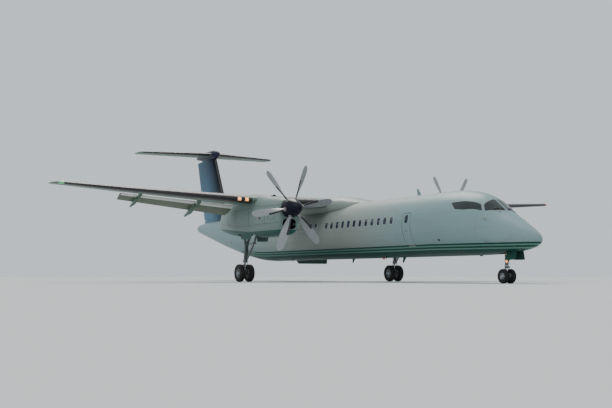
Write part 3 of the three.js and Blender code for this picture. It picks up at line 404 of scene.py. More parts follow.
def loft(rings):
    """A closed skin over rings of equal length."""
    rings = np.asarray(rings, float)
    count, size = rings.shape[:2]
    faces = grid_faces(count, size)
    faces += [list(range(size))[::-1], list(range((count - 1) * size, count * size))]
    return welded(rings.reshape(-1, 3), faces)


def band(rings):
    """A skin over closed rings that meet again at the first, such as a frame or a tyre."""
    rings = np.asarray(rings, float)
    count, size = rings.shape[:2]
    return welded(rings.reshape(-1, 3), grid_faces(count, size, wrap_rows=True))


def joined(*solids):
    points, faces, offset = [], [], 0
    for some, loops in solids:
        points.append(some)
        faces += [[v + offset for v in loop] for loop in loops]
        offset += len(some)
    return np.concatenate(points), faces


def moved(solid, matrix):
    points, faces = solid
    turned = points @ np.array(matrix.to_3x3()).T + np.array(matrix.translation)
    return (turned, [loop[::-1] for loop in faces]) if matrix.determinant() < 0 else (turned, faces)


MIRROR = Matrix.Diagonal((1, -1, 1, 1))


def on_side(solid, side):
    """A port solid, or its mirror image to starboard."""
    return solid if side > 0 else moved(solid, MIRROR)


def frame_along(direction):
    """Two directions square to a direction, and square to each other."""
    forward = Vector(direction).normalized()
    across = forward.cross((0, 0, 1) if abs(forward.z) < 0.9 else (0, 1, 0)).normalized()
    return np.array(across), np.array(forward.cross(across))


def tube(points, radius, sides, curved=True, steps=6):
    """A round bar or pipe along points; radius may change from point to point."""
    points = np.asarray(points, float)
    radii = np.broadcast_to(radius, len(points)).astype(float)
    if curved and len(points) > 2:
        share = np.concatenate([[0], np.cumsum(np.linalg.norm(np.diff(points, axis=0), axis=1))])
        finer = np.linspace(0, share[-1], steps * (len(points) - 1) + 1)
        radii = np.interp(finer, share, radii)
        points = np.stack([smooth(share, points[:, k], finer) for k in range(3)], 1)
    ways = np.gradient(points, axis=0)
    across, up = frame_along(ways[0])
    turn = 2 * np.pi * np.arange(sides) / sides
    rings = []
    for point, way, r in zip(points, ways, radii):
        way = way / np.linalg.norm(way)
        across = across - way * across.dot(way)
        across = across / np.linalg.norm(across)
        up = np.cross(way, across)
        rings.append(point + r * (np.cos(turn)[:, None] * across + np.sin(turn)[:, None] * up))
    return loft(rings)


def rod(start, end, radius, radius_to=None, sides=20, edge=0.0):
    """A straight round bar, with its ends eased by edge."""
    start, end = np.array(start, float), np.array(end, float)
    radius_to = radius if radius_to is None else radius_to
    way = (end - start) / np.linalg.norm(end - start)
    if not edge:
        return tube([start, end], [radius, radius_to], sides, curved=False)
    path = [start, start + way * edge, end - way * edge, end]
    return tube(path, [radius - edge, radius, radius_to, radius_to - edge], sides, curved=False)


def pin(middle, half, radius, sides=20, edge=0.003):
    """A round bar across the aircraft, as long each side of its middle."""
    middle = np.array(middle, float)
    return rod(middle - (0, half, 0), middle + (0, half, 0), radius, sides=sides, edge=edge)


def lathe(profile, centre, axis, steps, closed=False):
    """A body of revolution. The profile is (radius, along) from axis to axis, or a closed loop."""
    across, up = frame_along(axis)
    way = np.array(Vector(axis).normalized())
    profile = np.asarray(profile, float)
    turn = 2 * np.pi * np.arange(steps) / steps
    spokes = np.cos(turn)[:, None] * across + np.sin(turn)[:, None] * up
    points = np.array(centre) + profile[None, :, :1] * spokes[:, None] + profile[None, :, 1:] * way
    faces = grid_faces(steps, len(profile), wrap_rows=True, wrap_columns=closed)
    return welded(points.reshape(-1, 3), faces)


def prism(outline, axis, low, high):
    """A flat outline drawn out along an axis; its two numbers are the other two coordinates in order."""
    outline = np.asarray(outline, float)
    rings = [np.insert(outline, "xyz".index(axis), place, axis=1) for place in (low, high)]
    return loft(rings)


def corner_rounded(outline, radius, steps):
    """An outline with each corner made an arc."""
    outline = np.asarray(outline, float)
    rounded = []
    for k, corner in enumerate(outline):
        before, after = outline[k - 1] - corner, outline[(k + 1) % len(outline)] - corner
        reach = min(radius, 0.45 * np.linalg.norm(before), 0.45 * np.linalg.norm(after))
        start = corner + before / np.linalg.norm(before) * reach
        end = corner + after / np.linalg.norm(after) * reach
        for t in np.linspace(0, 1, steps + 1):
            rounded.append((1 - t) ** 2 * start + 2 * t * (1 - t) * corner + t**2 * end)
    return np.array(rounded)


def bevelled(solid, width, segments=2, angle=30):
    """A solid with its sharp edges eased."""
    mesh = mesh_of("bevel", solid)
    shape = bmesh.new()
    shape.from_mesh(mesh)
    sharp = [e for e in shape.edges if e.is_manifold and e.calc_face_angle() > math.radians(angle)]
    bmesh.ops.bevel(shape, geom=sharp, offset=width, segments=segments, affect="EDGES", clamp_overlap=True)
    shape.to_mesh(mesh)
    shape.free()
    return solid_of(mesh)


def block(x, y, z, edge=0.006):
    """A box between limits, with eased edges."""
    outline = ((x[0], y[0]), (x[1], y[0]), (x[1], y[1]), (x[0], y[1]))
    return bevelled(prism(outline, "z", *z), edge)


def mesh_of(name, solid):
    mesh = bpy.data.meshes.new(name)
    points, faces = solid
    mesh.from_pydata(np.asarray(points).tolist(), [], [list(map(int, loop)) for loop in faces])
    mesh.update()
    return mesh


def solid_of(mesh):
    """Reads a mesh back as a solid and deletes it."""
    points = np.empty(len(mesh.vertices) * 3)
    mesh.vertices.foreach_get("co", points)
    faces = [list(face.vertices) for face in mesh.polygons]
    bpy.data.meshes.remove(mesh)
    return points.reshape(-1, 3), faces


def linked(name, data):
    made = bpy.data.objects.new(name, data)
    bpy.context.scene.collection.objects.link(made)
    return made


def cut(solid, *tools):
    """A solid with others taken away from it."""
    body = linked("cut_body", mesh_of("cut_body", solid))
    helpers = [linked("cut_tool", mesh_of("cut_tool", tool)) for tool in tools]
    for helper in helpers:
        modifier = body.modifiers.new("cut", "BOOLEAN")
        modifier.operation, modifier.solver, modifier.object = "DIFFERENCE", "MANIFOLD", helper
    depsgraph = bpy.context.evaluated_depsgraph_get()
    result = bpy.data.meshes.new_from_object(body.evaluated_get(depsgraph))
    for temporary in [body, *helpers]:
        data = temporary.data
        bpy.data.objects.remove(temporary)
        bpy.data.meshes.remove(data)
    return solid_of(result)


def settled(solid, finish):
    """A part's materials, and which of them each face takes."""
    points, faces = solid
    if not isinstance(finish, tuple):
        return [finish], [0] * len(faces)
    materials, rule = finish
    if callable(rule):
        rule = np.asarray(rule(np.array([points[loop].mean(0) for loop in faces])), int).tolist()
    return materials, rule


def piece(name, body, parts, slot, replaces=(), sharp=35):
    """One object that rides on a body. A part is a solid and its material, or its materials and a rule."""
    materials, points, faces, picks, offset = [], [], [], [], 0
    for solid, finish in parts:
        choices, picked = settled(solid, finish)
        materials += [material for material in choices if material not in materials]
        picks += [materials.index(choices[k]) for k in picked]
        points.append(solid[0])
        faces += [[int(v) + offset for v in loop] for loop in solid[1]]
        offset += len(solid[0])
    mesh = bpy.data.meshes.new(name)
    mesh.from_pydata(np.concatenate(points).tolist(), [], faces)
    for material in materials:
        mesh.materials.append(material)
    mesh.polygons.foreach_set("material_index", picks)
    return finished(linked(name, mesh), body, slot, replaces, sharp)


def mirrored(parts, side):
    """Port parts, or their mirror images to starboard."""
    return [(on_side(solid, side), finish) for solid, finish in parts]


def pair(name, body, parts, slot, replaces=()):
    """A port piece, and its mirror image to starboard. {} in a name stands for the side."""
    parts = [(solid, settled(solid, finish)) for solid, finish in parts]
    for word, side in SIDES.items():
        nodes = [node_name.format(word) for node_name in replaces]
        piece(name.format(word), body.format(word), mirrored(parts, side), slot, nodes)


def painted(material, *solids):
    return [(solid, material) for solid in solids]


def finished(made, body, slot, replaces, sharp=35):
    made.data.polygons.foreach_set("use_smooth", [True] * len(made.data.polygons))
    made.data.set_sharp_from_angle(angle=math.radians(sharp))
    made.data.update()
    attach(made, body)
    if replaces:
        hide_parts(*replaces)
    return made


# Sections


def oval(top, bottom, half, wide, power, inset, sides):
    """A superellipse with its own upper and lower half height; power 2 is an ellipse."""
    wide = (top + bottom) / 2 if wide is None else wide
    turn = 2 * np.pi * np.arange(sides) / sides
    c, s = np.cos(turn), np.sin(turn)
    reach = np.where(s > 0, top - wide, wide - bottom) - inset
    y = np.sign(c) * np.abs(c) ** (2 / power) * (half - inset)
    return y, wide + np.sign(s) * np.abs(s) ** (2 / power) * reach


def body_loft(rows, power=2.0, sides=96):
    """A closed body through superelliptic sections on the centre line."""
    rings = []
    for row in each(rows):
        ys, zs = oval(row["top"], row["bottom"], row["half"], row.get("wide"), power, 0, sides)
        rings.append(np.stack([np.full(sides, along(row["s"])), ys, zs], 1))
    return loft(rings)


def fuselage_rows(stations):
    return rows_at(FUSELAGE, "s", stations, root=True)


def on_fuselage(station, angle, depth=0.0):
    """Points of the fuselage's port side: angle in radians up from its widest line, depth under its skin."""
    station, angle = np.broadcast_arrays(np.asarray(station, float), np.asarray(angle, float))
    rows = fuselage_rows(station.ravel())
    turn = angle.ravel()
    reach = np.where(np.sin(turn) > 0, rows["top"] - rows["wide"], rows["wide"] - rows["bottom"]) - depth
    points = (along(rows["s"]), (rows["half"] - depth) * np.cos(turn), rows["wide"] + np.sin(turn) * reach)
    return np.stack(points, -1).reshape(station.shape + (3,))


def angle_of(station, height):
    """The angle on the fuselage section at which a height lies."""
    row = fuselage_rows(station)
    reach = np.where(height > row["wide"], row["top"] - row["wide"], row["wide"] - row["bottom"])
    return np.arcsin(np.clip((height - row["wide"]) / reach, -1, 1))


def skin_point(station, height, out):
    """A point out from the port side of the fuselage."""
    return on_fuselage(station, angle_of(station, height)[0], -out)


def side_outline(outline):
    """An outline in station and height, as station and angle."""
    outline = np.asarray(outline, float)
    return np.stack([outline[:, 0], angle_of(outline[:, 0], outline[:, 1])], 1)


def patch(outline, outer, inner, rings=5):
    """A curved slab in the port skin: a convex outline in station and angle, between two depths."""
    outline = np.asarray(outline, float)
    middle = outline.mean(0)
    shares = np.linspace(0, 1, rings + 1)[1:]
    flat = middle + shares[:, None, None] * (outline - middle)
    front, back = (on_fuselage(flat[..., 0], flat[..., 1], depth) for depth in (outer, inner))
    size = len(outline)
    points = np.concatenate([front.reshape(-1, 3), back[::-1].reshape(-1, 3)])
    ends = [on_fuselage(middle[0], middle[1], depth)[None] for depth in (outer, inner)]
    faces = grid_faces(2 * rings, size)
    first, last = len(points), len(points) + 1
    foot = (2 * rings - 1) * size
    faces += [[first, (k + 1) % size, k] for k in range(size)]
    faces += [[last, foot + k, foot + (k + 1) % size] for k in range(size)]
    return welded(np.concatenate([points, *ends]), faces)


def ring_patch(outer_outline, inner_outline, outer, inner):
    """A curved frame in the port skin between two outlines of equal length, between two depths."""
    loops = [(outer_outline, outer), (inner_outline, outer), (inner_outline, inner), (outer_outline, inner)]
    return band([on_fuselage(o[:, 0], o[:, 1], depth) for o, depth in loops])


def spread_outline(outline, more):
    """An outline in station and angle, grown outwards by about more metres."""
    outline = np.asarray(outline, float)
    reach = np.array([1.0, 1.3])
    away = (outline - outline.mean(0)) * reach
    size = np.linalg.norm(away, axis=1, keepdims=True)
    return outline + away / size * more / reach


def rounded_box(s0, s1, z0, z1, radius=0.09):
    """A door's outline in station and angle, with round corners and enough points to follow the skin."""
    arcs = corner_rounded(((s0, z0), (s1, z0), (s1, z1), (s0, z1)), radius, 6).reshape(4, -1, 2)
    outline = []
    for arc, following in zip(arcs, np.roll(arcs, -1, axis=0)[:, 0]):
        count = max(1, int(np.linalg.norm(following - arc[-1]) / 0.06))
        outline += [*arc, *np.linspace(arc[-1], following, count + 1)[1:-1]]
    return side_outline(outline)


def thickness(share):
    """Half the thickness of a four-digit aerofoil at a share of the chord, for a thickness share of 1."""
    front = 0.2969 * np.sqrt(share) - 0.126 * share - 0.3516 * share**2
    return 5 * (front + 0.2843 * share**3 - 0.1036 * share**4)


def mean_line(share, cambered):
    """Height of an aerofoil's middle at a share of the chord."""
    return 0.08 * share * (1 - share) if cambered else 0 * share


def aerofoil(thick, start=0.0, end=1.0, shroud=None, nose=None, cove=None, cambered=False):
    """An outline in shares of the chord, x aft and z up, from the upper rear edge round the front."""
    line = lambda x: mean_line(x, cambered)
    half = lambda x: thick * thickness(x)
    spread = lambda last: start + (last - start) * (1 - np.cos(np.pi * np.arange(23) / 22)) / 2
    top, low = spread(shroud or end)[::-1], spread(end)
    points = [(x, line(x) + half(x)) for x in top]
    if nose is not None:
        for turn in np.pi * (0.5 + np.arange(1, 9) / 9):
            points.append((nose + half(nose) * np.cos(turn), line(nose) + half(nose) * np.sin(turn)))
    low = low[1 if start == 0 else 0 : -1 if end == 1 else None]
    points += [(x, line(x) - half(x)) for x in low]
    if shroud is not None:
        points += [(end, line(end) + half(end) - 0.012), (shroud, line(shroud) + half(shroud) - 0.006)]
    if cove is not None:
        radius = half(cove) + SWING
        for turn in np.radians(-130 - 100 * np.arange(1, 9) / 9):
            points.append((cove + radius * np.cos(turn), line(cove) + radius * np.sin(turn)))
    return np.array(points)


def wing_rows(rows, values):
    """A tapered surface's rows at span positions: straight between its own rows, with a round tip."""
    found = rows_at(rows, "y", values, curved=False)
    if rows is WING:
        tip = {name: column[3:] for name, column in rows.items()}
        out = values > WING_TIP_START
        round_tip = rows_at(tip, "y", values[out])
        for name in found:
            found[name][out] = round_tip[name]
    return found


def wing_row(y):
    return each(wing_rows(WING, np.array([y])))[0]


def span_places(y0, y1):
    """Span positions between two ends, with the tables' own breaks among them."""
    breaks = [y for y in (*WING["y"], *np.linspace(WING_TIP_START, WING_TIP, 12)) if y0 < y < y1]
    count = max(2, int((y1 - y0) / 0.35) + 1)
    return np.unique(np.round([*np.linspace(y0, y1, count), *breaks], 4))


def wing_ring(row, points):
    x, z = along(row["s"] + points[:, 0] * row["chord"]), row["z"] + points[:, 1] * row["chord"]
    return np.stack([x, np.full(len(x), row["y"]), z], 1)


def fin_ring(row, points):
    x, y = along(row["s"] + points[:, 0] * row["chord"]), points[:, 1] * row["chord"]
    return np.stack([x, y, np.full(len(x), row["z"])], 1)


def fin_rows(z0, z1):
    breaks = [z for z in FIN["z"] if z0 < z < z1]
    return rows_at(FIN, "z", np.unique([*np.linspace(z0, z1, 14), *breaks]), curved=False)


def wing_part(rows, y0, y1, **shape):
    """Part of a port wing or tailplane between two span positions."""
    rows = each(wing_rows(rows, span_places(y0, y1)))
    return loft([wing_ring(row, aerofoil(row["thick"], **shape)) for row in rows])


def fin_part(z0, z1, **shape):
    return loft([fin_ring(row, aerofoil(row["thick"], **shape)) for row in each(fin_rows(z0, z1))])


# Materials


def node(tree, kind, inputs=None, **settings):
    """Adds a node, sets its settings and fills or links its inputs."""
    made = tree.nodes.new(kind)
    for name, value in settings.items():
        setattr(made, name, value)
    for name, value in (inputs or {}).items():
        socket = made.inputs[name]
        if isinstance(value, bpy.types.NodeSocket):
            tree.links.new(value, socket)
        else:
            socket.default_value = value
    return made


def maths(tree, operation, a, b=0.0, clamp=False):
    return node(tree, "ShaderNodeMath", {0: a, 1: b}, operation=operation, use_clamp=clamp).outputs[0]


def sums(tree):
    """Ways to add, take away and multiply in a tree."""
    return [partial(maths, tree, operation) for operation in ("ADD", "SUBTRACT", "MULTIPLY")]


def ramp(tree, value, low, high, to_low=0.0, to_high=1.0):
    """A value stretched from one range to another and held at its ends."""
    inputs = {"Value": value, "From Min": low, "From Max": high, "To Min": to_low, "To Max": to_high}
    return node(tree, "ShaderNodeMapRange", inputs).outputs[0]


def mixed(tree, factor, a, b, blend="MIX"):
    inputs = {0: factor, 6: a, 7: b}
    return node(tree, "ShaderNodeMix", inputs, data_type="RGBA", blend_type=blend).outputs[2]


def place(tree):
    """Object coordinates, as a vector and its three parts."""
    vector = node(tree, "ShaderNodeTexCoord").outputs["Object"]
    parts = node(tree, "ShaderNodeSeparateXYZ", {0: vector}).outputs
    return vector, parts[0], parts[1], parts[2]


def noise(tree, scale, detail, roughness=0.5, stretch=(1, 1, 1)):
    vector = place(tree)[0]
    mapped = node(tree, "ShaderNodeMapping", {"Vector": vector, "Scale": stretch}).outputs[0]
    inputs = {"Vector": mapped, "Scale": scale, "Detail": detail, "Roughness": roughness}
    return node(tree, "ShaderNodeTexNoise", inputs).outputs["Fac"]


def new_group(name, inputs, outputs):
    """A shader node group from its inputs' defaults and its outputs' kinds, and both sets of sockets."""
    group = bpy.data.node_groups.new(name, "ShaderNodeTree")
    kinds = {"colour": "NodeSocketColor", "value": "NodeSocketFloat"}
    for label, default in inputs.items():
        kind = kinds["colour" if isinstance(default, tuple) else "value"]
        group.interface.new_socket(label, in_out="INPUT", socket_type=kind).default_value = default
    for label, kind in outputs.items():
        group.interface.new_socket(label, in_out="OUTPUT", socket_type=kinds[kind])
    return group, group.nodes.new("NodeGroupInput").outputs, group.nodes.new("NodeGroupOutput").inputs


def use(tree, group, **inputs):
    """Places a node group in a tree; underscores in the names stand for spaces."""
    named = {name.replace("_", " "): value for name, value in inputs.items()}
    return node(tree, "ShaderNodeGroup", named, node_tree=group).outputs


def wear_group():
    """Flight grime: streaks that run aft, a faded patchiness and a fine unevenness in the paint."""
    inputs = {
        "Colour": (0.5, 0.5, 0.5, 1), "Grime": (0.16, 0.15, 0.12, 1), "Streaks": 0.25, "Fading": 0.12,
        "Roughness": 0.4,
    }
    outputs = {"Colour": "colour", "Roughness": "value", "Height": "value"}
    group, given, out = new_group("flight grime", inputs, outputs)
    plus, _, times = sums(group)
    streaks = ramp(group, noise(group, 2.2, 6, 0.6, (0.35, 2.2, 2.2)), 0.52, 0.78)
    patches = ramp(group, noise(group, 0.7, 3, 0.5, (0.6, 1, 1)), 0.35, 0.7)
    worn = mixed(group, times(patches, given["Fading"]), given["Colour"], given["Grime"])
    dirty = mixed(group, times(streaks, given["Streaks"]), worn, given["Grime"])
    dulled = times(streaks, times(given["Streaks"], 0.6))
    group.links.new(dirty, out["Colour"])
    group.links.new(plus(given["Roughness"], dulled, clamp=True), out["Roughness"])
    group.links.new(noise(group, 9.0, 2, 0.5), out["Height"])
    return group


RIVETS = {"beside_joint": 0.022, "radius": 0.005, "flat_top": 0.002}


def panel_group():
    """Joints between skin panels in two directions, and the rivets beside them."""
    inputs = {
        "Along": 0.0, "Across": 0.0, "Along pitch": 1.2, "Across pitch": 0.6, "Width": 0.006,
        "Rivet pitch": 0.045,
    }
    group, given, out = new_group("skin joints", inputs, {"Joints": "value", "Rivets": "value"})
    plus, minus, times = sums(group)

    def distance(coordinate, pitch):
        share = maths(group, "FRACT", maths(group, "DIVIDE", coordinate, pitch))
        return times(maths(group, "ABSOLUTE", minus(share, 0.5)), pitch)

    lines, dots = [], []
    pairs = (("Along", "Along pitch", "Across"), ("Across", "Across pitch", "Along"))
    for coordinate, pitch, other in pairs:
        away = distance(given[coordinate], given[pitch])
        lines.append(ramp(group, away, given["Width"], 0.0))
        row = maths(group, "ABSOLUTE", minus(away, RIVETS["beside_joint"]))
        step = distance(given[other], given["Rivet pitch"])
        spot = maths(group, "SQRT", plus(maths(group, "POWER", row, 2), maths(group, "POWER", step, 2)))
        dots.append(ramp(group, spot, RIVETS["radius"], RIVETS["flat_top"]))
    group.links.new(maths(group, "MAXIMUM", *lines), out["Joints"])
    group.links.new(maths(group, "MAXIMUM", *dots), out["Rivets"])
    return group


# Stations between which the edge of the belly paint dips towards the nose, and how deep
EDGE_DIP = {"s0": 1.5, "s1": 5.5, "depth": 0.042}
# The half width that the belly paint reckons with, behind the start of the taper: what it loses there, as a
# share of the squared distance and as far as length; and the radius that turns an angle into a girth
BELLY_TAPER = {"length": 7.0, "share": 0.0074}
BELLY_RADIUS = 1.3
# Stripes: height of their lower and upper edge above the edge of the belly paint, and the top of the gap
STRIPES = ((0.062, 0.118), (0.178, 0.236))
BETWEEN_TOP = 0.19
# Where the belly paint begins to close to a point, its length from there, its half girth before, the power
# of the curve that closes it, what a step in girth counts for in height there, and heights over which it ends
BELLY_END = {"start": 22.2, "length": 2.85, "half_girth": 0.83, "power": 2.4, "rise": 0.64, "top": (2.2, 2.4)}
STRIPE_EDGE = 0.004  # over what height one colour turns into the next


def livery_group():
    """The belly paint and the two stripes that follow its edge, which closes to a point under the tail."""
    inputs = {
        "Upper": (0.6, 0.63, 0.6, 1), "Stripe": (0.02, 0.09, 0.08, 1), "Between": (0.2, 0.33, 0.3, 1),
        "Belly": (0.02, 0.12, 0.1, 1), "Edge height": 1.354,
    }
    group, given, out = new_group("belly and stripes", inputs, {"Colour": "colour"})
    plus, minus, times = sums(group)
    _, x, y, z = place(group)
    station = minus(LENGTH / 2, x)
    s0, s1, depth = EDGE_DIP.values()
    level = minus(z, plus(given["Edge height"], ramp(group, station, s0, s1, -depth, 0.0)))
    length, share = BELLY_TAPER.values()
    behind = ramp(group, station, TAPER_START, TAPER_START + length, 0.0, length)
    half = minus(FUSELAGE_HALF, times(maths(group, "POWER", behind, 2.0), share))
    sine = maths(group, "DIVIDE", maths(group, "ABSOLUTE", y), half)
    girth = times(maths(group, "ARCSINE", maths(group, "MINIMUM", sine, 1.0)), BELLY_RADIUS)
    start, length, half_girth, power, rise, top = BELLY_END.values()
    closing = maths(group, "POWER", ramp(group, station, start, start + 2 * length, 0.0, 2.0), power)
    beyond = plus(girth, times(minus(closing, 1.0), half_girth))
    rear = plus(times(beyond, rise), ramp(group, z, *top))
    above = plus(level, times(minus(rear, level), ramp(group, station, TAPER_START, start)))

    def layer(under, colour, low, high):
        over = ramp(group, above, low - STRIPE_EDGE, low)
        inside = times(over, ramp(group, above, high + STRIPE_EDGE, high))
        return mixed(group, inside, under, colour)

    colour = layer(given["Upper"], given["Between"], 0.0, BETWEEN_TOP)
    for low, high in STRIPES:
        colour = layer(colour, given["Stripe"], low, high)
    colour = layer(colour, given["Belly"], -2.0, 0.0)
    group.links.new(colour, out["Colour"])
    return group


# The pale paint turns cooler away from a station, over these distances from it: a painted cool reflection
PALE_MIDDLE = 14.5
PALE_ENDS = (3.0, 8.5)
# The edge of the dark paint under a nacelle: heights over which the colour changes at its rear end, how far
# it drops towards the front, and between which stations
NACELLE_EDGE = {"heights": (2.672, 2.66), "drop": 0.3, "s0": 14.5, "s1": 18.3}
# Station of the fin's front edge and its chord, as what each metre of height adds and what they start from;
# shares of the chord over which the paint of the edge fades, and heights over which that of the foot does
FIN_LINES = {"lead": (0.509, 25.746), "chord": (-0.19, 4.464)}
FIN_EDGE_FADE = (0.06, 0.6)
FIN_FOOT_FADE = (7.4, 3.6)

# What the painted skins share
SATIN = {"Coat_Weight": 0.05, "Coat_Roughness": 0.22, "Specular_IOR_Level": 0.12}

# Finishes in one colour, given or named in the livery: the joints in it, roughness, share of streaks, share
# of fading, height of the bump, and the rest
PLAIN_FINISHES = {
    "wing_paint": ("wing", "span", 0.45, 0.3, 0.15, 0.004, SATIN),
    "flap_paint": ("flap", "span", 0.45, 0.5, 0.3, 0.004, {}),
    "bullet_paint": ("bullet", "span", 0.35, 0.06, 0.04, 0.004, SATIN),
    "spinner_paint": ("spinner", None, 0.3, 0.03, 0.01, 0.0002, SATIN),
    "boot_rubber": ((0.009, 0.008, 0.01), "span", 0.45, 0.08, 0.06, 0.003, {}),
    "window_frame": ((0.4, 0.46, 0.45), None, 0.35, 0.2, 0.1, 0.001, {}),
    # A pale band on the flaps' noses: a painted highlight where the flap nose shows lit in the slot
    "band_paint": ((0.72, 0.73, 0.69), None, 0.35, 0.3, 0.1, 0.004, {"Coat_Weight": 0.1}),
    # Primer in bays and in the walls round openings, darkened to near-black as painted shade
    "dark_primer": ((0.012, 0.015, 0.013), None, 0.6, 0.15, 0.1, 0.004, {}),
    "gear_paint": ((0.07, 0.1, 0.105), None, 0.4, 0.35, 0.2, 0.002, {"Coat_Weight": 0.1}),
    "chrome": ((0.7, 0.71, 0.73), None, 0.14, 0.1, 0.1, 0.0005, {"Metallic": 1.0}),
    "alloy": ((0.3, 0.33, 0.36), None, 0.4, 0.4, 0.3, 0.002, {"Metallic": 0.8}),
    "bare_metal": ((0.3, 0.29, 0.28), None, 0.4, 0.4, 0.3, 0.002, {"Metallic": 0.9}),
    "burnt_metal": ((0.07, 0.055, 0.05), None, 0.55, 0.5, 0.4, 0.003, {"Metallic": 0.7}),
    "tyre_rubber": ((0.011, 0.011, 0.012), None, 0.8, 0.12, 0.12, 0.004, {"Specular_IOR_Level": 0.3}),
    "hose_rubber": ((0.01, 0.01, 0.01), None, 0.5, 0.1, 0.1, 0.002, {}),
    "blade_paint": ((0.25, 0.265, 0.28), None, 0.4, 0.3, 0.15, 0.001, {"Coat_Weight": 0.1}),
    # Near-black inside the intake duct: painted shade
    "black_void": ((0.004, 0.004, 0.005), None, 0.9, 0.05, 0.05, 0.002, {"Specular_IOR_Level": 0.1}),
    "cabin_lining": ((0.45, 0.43, 0.38), None, 0.6, 0.2, 0.2, 0.004, {}),
}

# Panes: darkest and lightest tint, scale and detail of the change between them, and the rest
PANES = {
    "glass": (
        (0.016, 0.022, 0.024, 1), (0.03, 0.036, 0.036, 1), 1.5, 2,
        {"Roughness": 0.06, "IOR": 1.5, "Specular_IOR_Level": 0.35},
    ),
    "cabin_glass": (
        (0.018, 0.024, 0.04, 1), (0.05, 0.06, 0.08, 1), 1.1, 1,
        {"Roughness": 0.1, "IOR": 1.49, "Coat_Weight": 0.4},
    ),
}

# Lamps: colour and strength
LAMPS = {
    "landing_lamp": ((1.0, 0.3, 0.03), 1.8),
    "dim_lamp": ((0.9, 0.25, 0.04), 0.8),
    "red_lamp": ((0.6, 0.02, 0.01), 0.3),
    "green_lamp": ((0.01, 0.4, 0.1), 0.3),
    "clear_lamp": ((0.7, 0.72, 0.7), 0.2),
}
LAMP_WHITE = 0.15  # share of white in the palest parts of a lens


